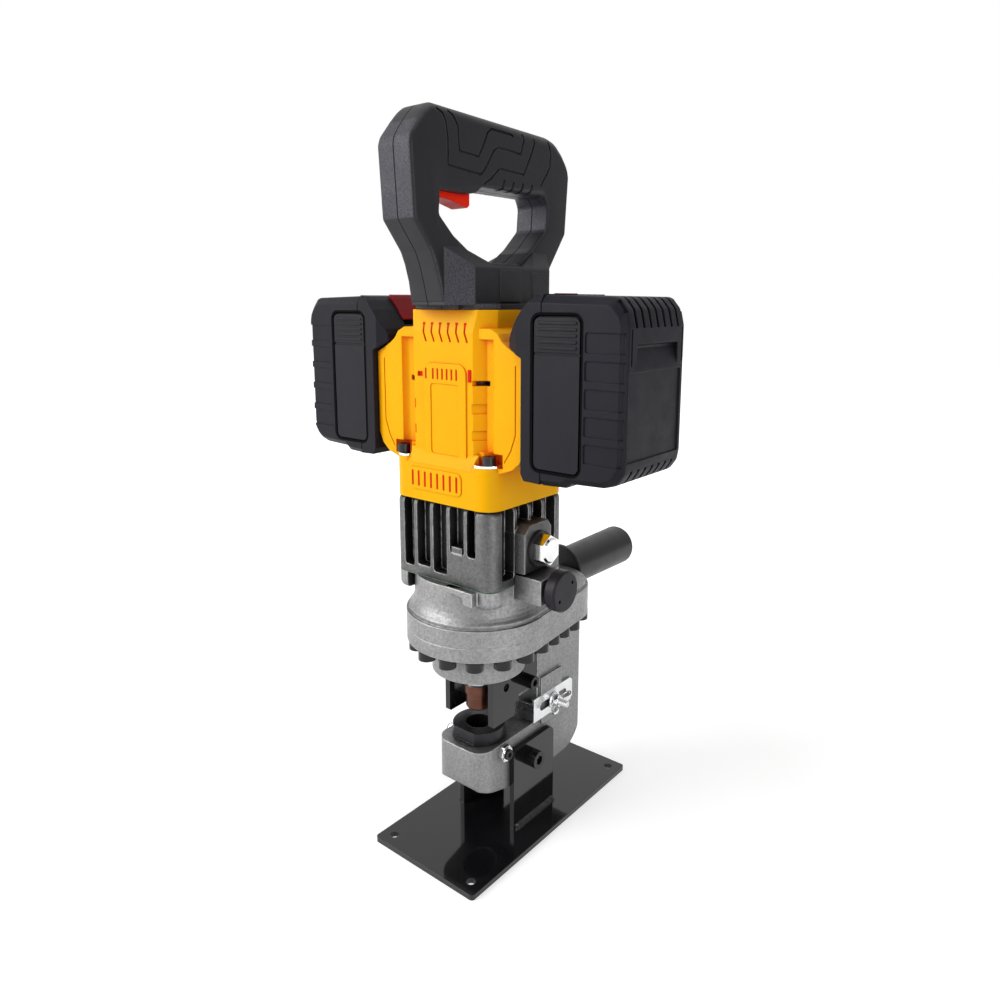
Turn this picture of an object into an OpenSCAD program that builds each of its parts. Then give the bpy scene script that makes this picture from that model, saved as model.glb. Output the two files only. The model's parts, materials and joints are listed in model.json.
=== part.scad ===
// Cordless electro-hydraulic hole puncher: C-frame with ram, punch and die,
// geared pump drive, twin battery housing, D-handle, side handle and base plate.
// Units are mm. +Z is up, -Y is the open side of the jaw, X runs battery to battery.
// The origin is the centre of the four base holes, on the underside of the plate.

/* [Whole tool] */
// Overall height, to the top of the handle
height = 532.8; // [520:0.1:545]
// Overall width, over both batteries
width = 286.6; // [276:0.2:300]
// Overall depth, from the front of the handle to the end of the side grip
depth = 278.5; // [262:0.5:300]

/* [Base plate] */
// Length of the plate along Y
plate_l = 205; // [180:1:240]
// Width of the plate along X
plate_w = 100; // [90:1:130]
// Thickness of the plate
plate_t = 4; // [3:0.5:8]
// Corner radius of the plate
plate_r = 3; // [1:0.5:12]
// Distance of each hole centre from the two nearest edges
hole_inset = 10.5; // [8:0.5:20]
// Radius of the four fixing holes
hole_r = 3.3; // [2:0.1:6]
// Distance from the plate centre forward to the punch axis
punch_fwd = 37; // [30:1:45]

/* [Jaw cheeks] */
// Thickness of each welded upright
cheek_t = 4; // [3:0.5:8]
// Front edge of the uprights behind the punch axis
cheek_y0 = 8.5; // [4:0.5:14]
// Rear edge of the uprights behind the punch axis
cheek_y1 = 60.5; // [50:0.5:64]
// Top edge of the uprights
cheek_top = 70.5; // [64:0.5:74]
// Corner radius of the uprights
cheek_r = 6; // [2:0.5:10]
// Height of the cross bolt
bracket_z = 58; // [50:0.5:62]
// Distance of the cross bolt behind the punch axis
bracket_y = 28; // [22:0.5:40]
// Radius of the cross bolt shank
bracket_r = 4.9; // [3:0.1:6]
// Radius of the cross bolt head
bracket_head_r = 7; // [5:0.1:9]
// Height of the cross bolt head
bracket_head_h = 10; // [5:0.5:12]

/* [C-frame] */
// Half width of the frame casting
frame_hw = 24; // [22:0.5:28]
// Front face of the jaw ahead of the punch axis
jaw_front = 25; // [24:0.5:32]
// Underside of the jaw
jaw_bot = 36; // [30:0.5:42]
// Top face of the jaw
jaw_top = 80; // [76:0.5:84]
// Corner radius of the jaw nose
jaw_r = 13; // [4:0.5:14]
// Front face of the column behind the punch axis
col_y0 = 43; // [40:0.5:50]
// Rear face of the column behind the punch axis
col_y1 = 106; // [98:0.5:112]
// Radius of the lower rear corner of the column
col_r = 28; // [10:1:34]
// Radius of the rear edges of the column
col_edge_r = 5; // [2:0.5:8]
// Rise of the jaw underside towards the nose
jaw_rise = 12; // [3:0.5:14]
// Radius at the root of the throat
throat_r = 9; // [4:0.5:12]
// Radius of the flange around the punch axis
flange_r = 54; // [50:0.5:60]
// Radius of the two rear corners of the flange
flange_rr = 38.7; // [30:0.1:44]
// Half width of the straight sides of the flange
flange_hw = 47; // [44:0.5:52]
// Underside of the flange
flange_z0 = 163.7; // [160:0.1:166]
// Joint between frame casting and pump casting
joint_z = 174.1; // [172:0.1:178]
// Radius of the cylinder boss under the flange
boss_r = 35.5; // [32:0.5:40]
// Underside of the cylinder boss
boss_z0 = 138.5; // [136:0.5:142]

/* [Ram] */
// Radius of the cylinder bore
bore_r = 29; // [24:0.5:30]
// Thickness of the cylinder floor
floor_t = 4; // [3:0.5:6]
// Radius of the ram rod
rod_r = 14; // [12:0.5:16]
// Height of the piston head
head_h = 14; // [12:0.5:18]
// Gap around a sliding or turning shaft
run_gap = 0.05; // [0.02:0.01:0.1]
// Stroke of the ram
stroke = 17; // [10:0.5:17]
// Radius of the punch
punch_r = 10; // [6:0.05:12]
// Lower end of the punch at rest
punch_z0 = 103.9; // [98:0.1:110]
// Radius of the punch collar
collar_r = 11.2; // [8:0.1:12.5]
// Height of the punch collar above the punch end
collar_up = 12.4; // [8:0.1:16]
// Thickness of the punch collar
collar_t = 7; // [4:0.5:9]
// Length of the punch from end to end
punch_l = 30; // [26:0.5:36]
// Radius of the punch shank in the ram
shank_r = 7; // [5:0.5:9]

/* [Die] */
// Radius of the die hole
die_hole_r = 10.25; // [6:0.05:12.5]
// Outer radius of the die
die_r = 20.3; // [18:0.1:22]
// Top face of the die
die_top = 90.3; // [84:0.1:94]
// Depth of the die in its seat
die_seat = 13.7; // [10:0.1:18]
// Distance from the axis to the flat on the die
die_flat = 17.6; // [16:0.1:20]
// Gap around the die in its seat
die_gap = 0.15; // [0.05:0.01:0.3]
// Height of the two die lock screws
lock_z = 73; // [70:0.5:76]
// Radius of the die lock screws
lock_r = 4; // [2.5:0.1:5]

/* [Stripper fork] */
// Thickness of each fork plate
fork_t = 4.5; // [3:0.5:6]
// Front edge of the fork legs ahead of the punch axis
fork_front = 12; // [8:0.5:16]
// Rear edge of the fork legs behind the punch axis
fork_leg = 14.5; // [10:0.5:18]
// Lower end of the fork legs
fork_z0 = 97; // [94:0.5:102]
// Height of the fork bolts
fork_bolt_z = 122; // [116:0.5:126]
// Distance of the fork bolts behind the punch axis
fork_bolt_y = 27; // [24:0.5:34]
// Radius of the fork bolt shank
fork_bolt_r = 3; // [2:0.1:4]
// Radius of the fork bolt head
fork_head_r = 5.2; // [4:0.1:7]
// Height of the fork bolt head
fork_head_h = 10; // [4:0.5:12]

/* [Stop gauge] */
// Thickness of the stop plate
stop_t = 2; // [1.5:0.1:3]
// Front end of the stop plate behind the punch axis
stop_y0 = 36.5; // [34:0.5:38.5]
// Rear end of the stop plate behind the punch axis
stop_y1 = 90; // [80:0.5:94]
// Lower edge of the stop plate
stop_z0 = 81; // [78:0.5:84]
// Height of the stop plate
stop_h = 20; // [14:0.5:20.5]
// Reach of the stop tongue across the throat
stop_reach = 19; // [10:0.5:22]
// Distance of the stop stud behind the punch axis
stud_y = 63; // [58:0.5:70]
// Radius of the stop stud
stud_r = 3; // [2:0.1:4]
// Half length of the slot in the stop plate
slot_half = 15; // [8:0.5:18]

/* [Pump casting] */
// Top of the pump casting flange
pump_flange_z = 190; // [186:0.5:193]
// Radius of the pump casting neck
neck_r = 47.5; // [44:0.5:50]
// Height of the fillet between neck and flange
neck_fillet = 11; // [4:0.5:13]
// Top of the pump casting
pump_top = 216; // [212:0.5:220]
// Outer end of the valve block from the centre plane
valve_x = 69; // [60:0.5:74]
// Half width of the valve block
valve_hw = 14.5; // [10:0.5:18]
// Lower face of the valve block
valve_z0 = 206; // [202:0.5:208]
// Upper face of the valve block
valve_z1 = 224; // [218:0.5:224.5]
// Height of the release valve axis
valve_z = 215; // [213:0.5:216]
// Radius of the release valve spindle
valve_r = 6; // [3:0.5:7]
// Radius of the release knob
knob_r = 14.6; // [10:0.1:16]
// Thickness of the release knob
knob_t = 8; // [5:0.5:10]
// Gap between the knob and the valve block
knob_gap = 3; // [1:0.5:6]
// Radius of the flange bolt shanks
fbolt_r = 4; // [3:0.1:5]
// Radius of the flange bolt heads
fbolt_head_r = 6.5; // [5:0.1:7]
// Height of the flange bolt heads
fbolt_head_h = 8; // [4:0.5:9]
// Radius of the circle of front flange bolts
fbolt_pcd_r = 46.5; // [44:0.1:47.5]

/* [Gear housing] */
// Half width of the finned housing along X
fin_hx = 46.5; // [44:0.5:50]
// Half width of the finned housing along Y
fin_hy = 43; // [40:0.5:46]
// Offset of the housing and motor axis behind the punch axis
motor_y = 2; // [0:0.5:6]
// Top of the finned housing
fin_top = 272.5; // [266:0.5:276]
// Corner radius of the finned housing
fin_r = 10; // [4:0.5:14]
// Depth of the grooves between fins
groove_d = 8; // [4:0.5:8.5]
// Pitch of the fins
fin_pitch = 16; // [12:0.5:18]
// Thickness of each fin
fin_t = 3; // [2:0.5:6]
// Width of each corner pillar
pillar_w = 13; // [10:0.5:16]
// Length of the pillar feet below the finned housing
foot_h = 5.5; // [3:0.5:10]
// Outer face of the oil plug boss from the centre plane
plug_x = 56; // [52:0.5:60]
// Half width of the oil plug boss
plug_boss_r = 17; // [13:0.5:17]
// Height of the oil plug
plug_z = 242; // [238:0.5:246]
// Width across flats of the oil plug
plug_af = 19; // [13:0.5:22]
// Half side of the square gear cavity
cavity_h = 31.5; // [30:0.5:32]

/* [Side handle] */
// Height of the side handle axis
side_z = 184.5; // [182:0.5:186]
// Radius of the guard at the grip root
guard_r = 22; // [18:0.5:26]
// Thickness of the guard
guard_t = 4.5; // [3:0.5:8]
// Radius of the grip at the guard
grip_r0 = 16.5; // [13:0.5:18]
// Radius of the grip at the free end
grip_r1 = 17.6; // [14:0.1:21]

/* [Motor housing] */
// Half width of the body along X
body_hx = 39.4; // [37:0.1:41]
// Front face of the body ahead of the punch axis
body_front = 36; // [34:0.5:38]
// Rear face of the body behind the punch axis
body_rear = 45; // [43:0.5:48]
// Size of the corner facets of the body
body_ch = 12; // [8:0.5:14]
// Top of the collar around the gear housing
skirt_top = 299; // [294:0.5:304]
// Height where the front face starts to lean back
lean_z = 391; // [386:0.5:396]
// Top of the motor housing
body_top = 406; // [402:0.5:410]
// Wall thickness of the shells
wall = 3; // [2:0.25:4]
// Parting plane of the shells behind the punch axis
split_y = 7; // [4:0.5:12]
// Height of the raised panel on the front face
panel_d = 1; // [0.4:0.1:1.5]
// Length of the plates under the housing screws
plate_len = 20; // [14:0.5:22]
// Outer face of the battery docks
dock_x = 68.2; // [64:0.1:70]
// Half width of the battery docks along Y
dock_hy = 33; // [30:0.5:36]

/* [Batteries] */
// Inner face of the battery case from the centre plane
bat_x0 = 68.7; // [68.5:0.1:74]
// Reach of the battery wedge over the dock from the centre plane
wedge_x = 56.4; // [56:0.1:62]
// Joint between the battery base and its shell
bat_xj = 84.2; // [80:0.1:90]
// Half width of the battery case
bat_hy = 37.5; // [34:0.5:42]
// Lower face of the battery case
bat_z0 = 299; // [294:0.5:302]
// Upper face of the battery case
bat_z1 = 416; // [410:0.5:420]
// Size of the bevel along the upper edges of the case
bat_bevel = 4; // [1:0.5:6]
// Depth of the windows on the case corners
win_d = 0.8; // [0.3:0.1:1.5]
// Height of one window on the case corners
win_h = 12; // [6:0.5:13]
// Half width of the clip panel recess along X
clip_hw = 18; // [12:0.5:20]
// Depth of the clip panel recess
clip_d = 2; // [1:0.25:3]
// Radius of one cell
cell_r = 9; // [7:0.1:9.2]
// Pitch of the cells along Z
cell_pitch = 18.6; // [18.5:0.1:19.2]
// Length of one cell
cell_l = 65; // [50:1:68]
// Travel of the release button
button_travel = 4; // [2:0.5:4]

/* [Handle] */
// Half width of the handle bars
bar_hw = 15.1; // [13:0.1:18]
// Front of the handle, ahead of the punch axis
handle_front = 77; // [74:0.5:80]
// Fall of the handle top towards the rear
top_fall = 2.6; // [0:0.1:5]
// Radius of the upper edges of the grip bar
grip_round = 10; // [4:0.5:12]
// Depth of the grip bar at the full height
grip_h = 46.3; // [44:0.1:50]
// Radius of the lower edges of the grip bar
under_round = 8; // [3:0.5:9]
// Depth of the decorative grooves in the handle
line_d = 0.8; // [0.3:0.1:1.5]
// Half width of the handle foot
foot_hw = 27.8; // [24:0.1:32]
// Height of the foot above the motor housing
foot_up = 28; // [24:0.5:34]
// Travel of the trigger
trig_travel = 5; // [2:0.5:7]
// Half width of the trigger
trig_hw = 7; // [5:0.5:9]

/* [Drive] */
// Gear module
gm = 0.9; // [0.8:0.05:0.9]
// Teeth on the motor pinion
za = 14; // [13:1:16]
// Teeth on the first wheel, in mesh with the motor pinion
zb = 30; // [26:1:30]
// Teeth on the layshaft pinion
zc = 13; // [12:1:15]
// Face width of the gears
gear_w = 8; // [6:0.5:9]
// Offset of the eccentric from the output axis
ecc = 2; // [1:0.25:3]

/* [Hidden] */
e = 0.01;
handle_top = height;
hs = (handle_top - body_top) / 126.8; // scale of the handle's heights
function up(z) = body_top + z * hs;   // a height above the body, in that scale
bar_z = handle_top - grip_h * hs;     // lower face of the grip bar
foot_top = up(foot_up);
bat_x1 = width / 2;          // outer face of the battery case
grip_l = depth - handle_front - col_y1 - guard_t + 1; // grip beyond the guard
seat = 0.02;              // gap between two flat faces that rest on each other
bolt_gap = 0.15;          // radial gap of a screw in its hole
round_lap = 0.15;         // a rounding starts this far outside the flat faces
cheek_x = frame_hw + 0.2; // inner face of the welded uprights
ring_z = boss_z0 + floor_t;
head_z0 = joint_z - head_h;
die_z0 = jaw_top - die_seat;
die_h = die_top - die_z0;
plate_cz = stop_z0 + stop_h / 2;
zd = za + zb - zc;        // teeth on the output wheel, same centre distance
shaft_d = gm * (za + zb) / 2;
lay_x = shaft_d * cos(45);
lay_y = motor_y + shaft_d * sin(45);
chamber_z = 192;          // floor of the pump chamber
gear_floor = 224;
gear_z2 = gear_floor + 3; // foot of the output wheel
gear_z1 = gear_z2 + gear_w + 3; // foot of the first wheel
cover_z = 254;            // ledge under the gear cover
cam_z = 203;              // plane of the pump plungers
plunger_r = 5;
rib_z = [303, 345];
top_rib = 372;
flange_cy = col_y1 - flange_rr;
body_cy = (body_rear - body_front) / 2;
top_front = body_front - 2.7;
nut_z0 = punch_z0 + collar_up + collar_t;
lug_top = skirt_top + 3.5;
screw_r = 2.5;
shoulder_z = 310;         // upper edge of the shoulder above the collar
channel_r = 5;            // scooped channel at the root of each dock
channel_z0 = 311.9;
channel_z1 = 387;
panel_cx = 2.4;
panel_hw = 19.4;
panel_z1 = 370;
vent_cx = -3.5;           // centre of the lower row of vents
switch_z = bar_z + 10.2 * hs;         // underside of the switch above the trigger
trig_spring_y = -32;
trig_pocket_r = 5.2;      // spring pocket in the trigger
trig_pocket_z = bar_z - 3.5 * hs;
screw_pos = [[40.5, -35], [-40.5, -35], [40.5, 38], [-40.5, 38]];
clip_cx = bat_xj + 11.3;
clip_z0 = 307;
clip_z1 = 403.5;
clip_step_z = 381.2;      // lower edge of the ribbed end of the clip panel
win_z0 = 315.5;           // foot of the lowest corner window
win_pitch = 16.5;
cell_step = 2 * cell_r + 0.4;
cell_cols = floor((bat_x1 - bat_x0 - 8.2) / cell_step); // columns that fit in the case
button_x0 = 62.3;
button_x1 = 76.7;
button_z0 = 401;
button_z1 = 416.6;
guide_z = 314;            // floor of the battery guides
$fn = 48;

function arc(cx, cy, r, a0, a1, n) = [for (i = [0:n]) [cx + r * cos(a0 + (a1 - a0) * i / n), cy + r * sin(a0 + (a1 - a0) * i / n)]];

// outline of a narrow band that follows the points p
function tang(p, i) = let (d = p[min(i + 1, len(p) - 1)] - p[max(i - 1, 0)]) d / norm(d);
function side_pt(p, i, w) = p[i] + w / 2 * [-tang(p, i)[1], tang(p, i)[0]];
function band(p, w) = concat([for (i = [0:len(p) - 1]) side_pt(p, i, w)], [for (i = [len(p) - 1:-1:0]) side_pt(p, i, -w)]);

module place() translate([0, -punch_fwd, 0]) children();
// solid along X between x0 and x1 from a profile drawn in (y, z)
module along_x(x0, x1) translate([x0, 0, 0]) rotate([90, 0, 90]) linear_extrude(x1 - x0) children();
// solid along Y between y0 and y1 from a profile drawn in (x, z)
module along_y(y0, y1) translate([0, y1, 0]) rotate([90, 0, 0]) linear_extrude(y1 - y0) children();
module xcyl(r, x0, x1, y, z) translate([x0, y, z]) rotate([0, 90, 0]) cylinder(r = r, h = x1 - x0);
module ycyl(r, y0, y1, x, z) translate([x, y1, z]) rotate([90, 0, 0]) cylinder(r = r, h = y1 - y0);
module zcyl(r, z0, z1, x = 0, y = 0) translate([x, y, z0]) cylinder(r = r, h = z1 - z0);
module zring(ro, ri, z0, z1) difference() { zcyl(ro, z0, z1); zcyl(ri, z0 - 1, z1 + 1); }
module box(x0, x1, y0, y1, z0, z1) translate([x0, y0, z0]) cube([x1 - x0, y1 - y0, z1 - z0]);
module rrect(w, l, r) { square([w - 2 * r, l], center = true); square([w, l - 2 * r], center = true);
  for (x = [-1, 1], y = [-1, 1]) translate([x * (w / 2 - r), y * (l / 2 - r)]) circle(r); }
module both() { children(); mirror([1, 0, 0]) children(); }
// socket screw along +X: the head sits on the plane x = x0, the shank reaches inwards
module socket_x(r, len, hr, hh, x0, y, z) difference() {
  union() { xcyl(r, x0 - len, x0 + e, y, z); xcyl(hr, x0, x0 + hh, y, z); }
  translate([x0 + hh * 0.5, y, z]) rotate([0, 90, 0]) cylinder(r = hr * 0.55, h = hh, $fn = 6);
}

module plate_outline() rrect(plate_w, plate_l, plate_r);
module cheek() difference() {
  along_x(cheek_x, cheek_x + cheek_t) difference() {
    polygon(concat([[cheek_y0, plate_t - 0.5], [cheek_y1, plate_t - 0.5]],
      arc(cheek_y1 - cheek_r, cheek_top - cheek_r, cheek_r, 0, 90, 6), arc(cheek_y0 + 3, cheek_top - 3, 3, 90, 180, 4)));
    translate([bracket_y, bracket_z]) circle(bracket_r + bolt_gap);
  }
}
module weld() along_y(cheek_y0 + 1, cheek_y1 - 1) polygon([[cheek_x + cheek_t - e, plate_t - e], [cheek_x + cheek_t + 3, plate_t - e], [cheek_x + cheek_t - e, plate_t + 3]]);
module base_plate() color("#141414") union() {
  difference() {
    linear_extrude(plate_t) plate_outline();
    for (x = [-1, 1], y = [-1, 1]) zcyl(hole_r, -1, plate_t + 1, x * (plate_w / 2 - hole_inset), y * (plate_l / 2 - hole_inset));
  }
  place() both() { cheek(); weld(); }
}
module bracket_bolts() color("#1b1b1b") place() both()
  socket_x(bracket_r, 16, bracket_head_r, bracket_head_h, cheek_x + cheek_t + seat, bracket_y, bracket_z);

module flange_plan(r = flange_r, d = 0) {
  circle(r);
  for (s = [-1, 1]) translate([s * (flange_hw - flange_rr), flange_cy]) circle(flange_rr - d);
  polygon([[-r, 0], [r, 0], [flange_hw - d, flange_cy], [-flange_hw + d, flange_cy]]);
  polygon([[-flange_hw + flange_rr, 0], [flange_hw - flange_rr, 0], [flange_hw - flange_rr, col_y1 - d], [-flange_hw + flange_rr, col_y1 - d]]);
}
// positions of the flange bolts: an arc in front, rows along the sides, two at the rear corners
side_rows = [18.5, 35, 51, 67];
function side_bx(y) = 46.8 - 0.105 * y;
fbolts = concat([for (k = [-3.5:1:3.5]) [fbolt_pcd_r * cos(-90 + 25 * k), fbolt_pcd_r * sin(-90 + 25 * k)]],
  [for (y = side_rows, s = [-1, 1]) [s * side_bx(y), y]],
  [for (s = [-1, 1]) [s * (frame_hw + fbolt_head_r + 3), 88]]);
module frame_side() {
  polygon(concat([[-jaw_front, jaw_bot + jaw_rise + 2.5], [-jaw_front + 2.5, jaw_bot + jaw_rise], [-4, jaw_bot + 0.56 * jaw_rise], [die_r, jaw_bot]],
    arc(col_y1 - col_r, jaw_bot + col_r, col_r, -90, 0, 10),
    [[col_y1, flange_z0 + e], [col_y0, flange_z0 + e]],
    arc(col_y0 - throat_r, jaw_top + throat_r, throat_r, 0, -90, 6), [[-jaw_front, jaw_top]]));
}
module frame_plan() {
  translate([-frame_hw, -jaw_front + jaw_r]) square([2 * frame_hw, col_y1 - col_edge_r + jaw_front - jaw_r]);
  translate([-frame_hw + jaw_r, -jaw_front]) square([2 * (frame_hw - jaw_r), 2 * jaw_r]);
  for (s = [-1, 1]) { translate([s * (frame_hw - jaw_r), -jaw_front + jaw_r]) circle(jaw_r); translate([s * (frame_hw - col_edge_r), col_y1 - col_edge_r]) circle(col_edge_r); }
  translate([-frame_hw + col_edge_r, col_y0]) square([2 * (frame_hw - col_edge_r), col_y1 - col_y0]);
}
module c_frame() color("#b9bbbd") place() difference() {
  union() {
    intersection() { along_x(-frame_hw, frame_hw) frame_side(); translate([0, 0, jaw_bot - 1]) linear_extrude(flange_z0 - jaw_bot + 2) frame_plan(); }
    translate([0, 0, flange_z0]) linear_extrude(joint_z - flange_z0) flange_plan();
    zcyl(boss_r, boss_z0, flange_z0 + e);
    box(-frame_hw + fork_t + 0.3, frame_hw - fork_t - 0.3, 19.5, col_y0 + e, 107, boss_z0 + 4);
    // raised pads that guide the stop plate
    box(frame_hw - e, frame_hw + stop_t, col_y0 + 3, col_y0 + 31, stop_z0 + stop_h + run_gap, stop_z0 + stop_h + 15);
    box(frame_hw - e, frame_hw + stop_t, col_y0 + 4, col_y0 + 29, stop_z0 - 5, stop_z0 - run_gap);
  }
  difference() { zcyl(bore_r, ring_z, joint_z + 1); zcyl(rod_r + 4, ring_z - 1, ring_z + 9); }
  zcyl(rod_r + run_gap, boss_z0 - 1, ring_z + 10);
  zcyl(die_r + die_gap, die_z0, jaw_top + 1);
  zcyl(die_hole_r + 3, jaw_bot - 1, die_z0 + 1);
  both() {
    xcyl(lock_r + bolt_gap, 12, frame_hw + 1, 0, lock_z);
    xcyl(bracket_r + bolt_gap, frame_hw - 13, frame_hw + 1, bracket_y, bracket_z);
    xcyl(fork_bolt_r + bolt_gap, frame_hw - 18, frame_hw - fork_t, fork_bolt_y, fork_bolt_z);
  }
  xcyl(stud_r + bolt_gap, frame_hw - 10, frame_hw + 1, stud_y, plate_cz);
  for (p = fbolts) zcyl(fbolt_r + bolt_gap, flange_z0 - 1, joint_z + 1, p[0], p[1]);
}
module die() color("#26282b") place() difference() {
  union() { zcyl(die_r, die_z0 + seat, jaw_top + 1);
    intersection() { zcyl(die_r, jaw_top, die_top); box(-die_r - 1, die_r + 1, -die_flat, die_r + 1, die_z0, die_top + 1); } }
  zcyl(die_hole_r, die_top - 9, die_top + 1);
  translate([0, 0, die_z0 - 1]) cylinder(r = die_hole_r + 0.8, h = die_h - 8 + e);
  both() xcyl(lock_r + bolt_gap, die_r - 2, die_r + 1, 0, lock_z);
}
module die_lock_screws() color("#222426") place() both() difference() {
  xcyl(lock_r, die_r - 1.8, frame_hw + 7, 0, lock_z);
  translate([frame_hw + 4, 0, lock_z]) rotate([0, 90, 0]) cylinder(r = lock_r * 0.55, h = 6, $fn = 6);
}
module die_lock_nuts() color("#d9dadb") place() both() difference() {
  union() { translate([frame_hw + seat, 0, lock_z]) rotate([0, 90, 0]) rotate(30) cylinder(r = 6.6, h = 4, $fn = 6); xcyl(5.4, frame_hw + 2, frame_hw + 5.2, 0, lock_z); }
  xcyl(lock_r + bolt_gap, frame_hw - 1, frame_hw + 8, 0, lock_z);
}
module punch() color("#7a5548") place() union() {
  zcyl(punch_r, punch_z0 + 1, punch_z0 + collar_up);
  translate([0, 0, punch_z0]) cylinder(r1 = punch_r - 0.6, r2 = punch_r, h = 1 + e);
  zcyl(collar_r, punch_z0 + collar_up - e, nut_z0);
  zcyl(shank_r, nut_z0 - e, punch_z0 + punch_l);
}
module punch_nut() color("#8d8f92") place() difference() {
  translate([0, 0, nut_z0 + seat]) cylinder(r1 = 11.6, r2 = rod_r - 0.3, h = 3);
  zcyl(shank_r + bolt_gap, nut_z0 - 1, nut_z0 + 4);
}
module piston() color("#9da0a3") place() difference() {
  union() {
    zcyl(rod_r, nut_z0 + 3 + 2 * seat, joint_z - 0.3);
    zcyl(bore_r - run_gap, head_z0, joint_z - 0.3);
  }
  difference() { zcyl(bore_r - 3, head_z0 - 1, joint_z - 4); zcyl(rod_r, head_z0 - 2, joint_z); }
  zcyl(shank_r + bolt_gap, nut_z0 - 1, punch_z0 + punch_l + 1);
  difference() { zcyl(bore_r + 1, joint_z - 2.9, joint_z - 1); zcyl(bore_r - 2, joint_z - 4, joint_z); }
}
module piston_seal() color("#2f5d3a") place() zring(bore_r - 0.03, bore_r - 2 + 0.1, joint_z - 2.8, joint_z - 1.1);
// return spring: stacked rings joined by short risers read as a closed coil
spring_turns = 4;
module return_spring() color("#7b8288") place() {
  sr = (rod_r + 4 + bore_r - 3) / 2; z0 = ring_z + 0.2; z1 = joint_z - 4.2; wr = 1.1; pitch = (z1 - z0 - 2 * wr) / (spring_turns - 1);
  for (i = [0:spring_turns - 1]) translate([0, 0, z0 + wr + i * pitch]) rotate_extrude($fn = 40) translate([sr, 0]) circle(wr, $fn = 8);
  for (i = [0:spring_turns - 2]) zcyl(wr * 0.8, z0 + wr + i * pitch, z0 + wr + (i + 1) * pitch, i % 2 == 0 ? sr : -sr, 0);
}
module fork_side() polygon([[-fork_front, fork_z0 + 1], [-fork_front + 1, fork_z0], [fork_leg - 1, fork_z0], [fork_leg, fork_z0 + 1],
  [fork_leg, 108], [fork_leg + 5, 113], [col_y0 - 1, 113], [col_y0 - 1, boss_z0 - 0.3], [-fork_front, boss_z0 - 0.3]]);
module stripper_fork() color("#26282a") place() difference() {
  union() {
    both() along_x(frame_hw - fork_t, frame_hw) fork_side();
    box(-frame_hw + e, frame_hw - e, 15, 19.2, 108, boss_z0 - 0.3);
  }
  both() { xcyl(fork_bolt_r + bolt_gap, frame_hw - fork_t - 1, frame_hw + 1, fork_bolt_y, fork_bolt_z);
    xcyl(3.2, frame_hw - 2.5, frame_hw + 1, 4.3, 124); }
}
module fork_bolts() color("#1d1e20") place() both()
  socket_x(fork_bolt_r, 17, fork_head_r, fork_head_h, frame_hw + seat, fork_bolt_y, fork_bolt_z);
module stop_gauge() color("#e4e6e8") place() difference() {
  union() {
    along_x(frame_hw + 0.05, frame_hw + 0.05 + stop_t - 0.1) polygon([[stop_y0, stop_z0], [stop_y1 - 3, stop_z0], [stop_y1, stop_z0 + 3], [stop_y1, stop_z0 + stop_h - 3], [stop_y1 - 3, stop_z0 + stop_h], [stop_y0, stop_z0 + stop_h]]);
    along_y(stop_y0, stop_y0 + stop_t) { translate([frame_hw - stop_reach + 7, stop_z0 + 1]) square([stop_reach - 7 + 1, 14]); translate([frame_hw - stop_reach + 7, stop_z0 + 8]) circle(7); }
  }
  for (s = [-1, 1]) xcyl(stud_r + 0.4, frame_hw - 1, frame_hw + 4, stud_y + s * slot_half, plate_cz);
  box(frame_hw - 1, frame_hw + 4, stud_y - slot_half, stud_y + slot_half, plate_cz - stud_r - 0.4, plate_cz + stud_r + 0.4);
}
module stop_stud() color("#cfd1d3") place() union() { xcyl(stud_r, frame_hw - 9, frame_hw + 16, stud_y, plate_cz); }
wing_x = frame_hw + stop_t + 0.3;
module wing_nut() color("#e0e2e4") place() difference() {
  union() {
    xcyl(7, wing_x, wing_x + 1.4, stud_y, plate_cz);
    translate([wing_x + 1.4 - e, stud_y, plate_cz]) rotate([0, 90, 0]) cylinder(r1 = 5.6, r2 = 4.4, h = 5);
    for (s = [-1, 1]) translate([wing_x + 3, stud_y, plate_cz]) rotate([s * 90 + 20, 0, 0]) translate([0, -1.1, 3.8]) rotate([90, 0, 0]) mirror([0, 0, 1]) linear_extrude(2.2) polygon([[0, 0], [3.6, 0], [7.5, 4], [7.5, 8], [5, 9.5], [2.5, 8], [0, 3]]);
  }
  xcyl(stud_r + run_gap, wing_x - 1, wing_x + 9, stud_y, plate_cz);
}

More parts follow.
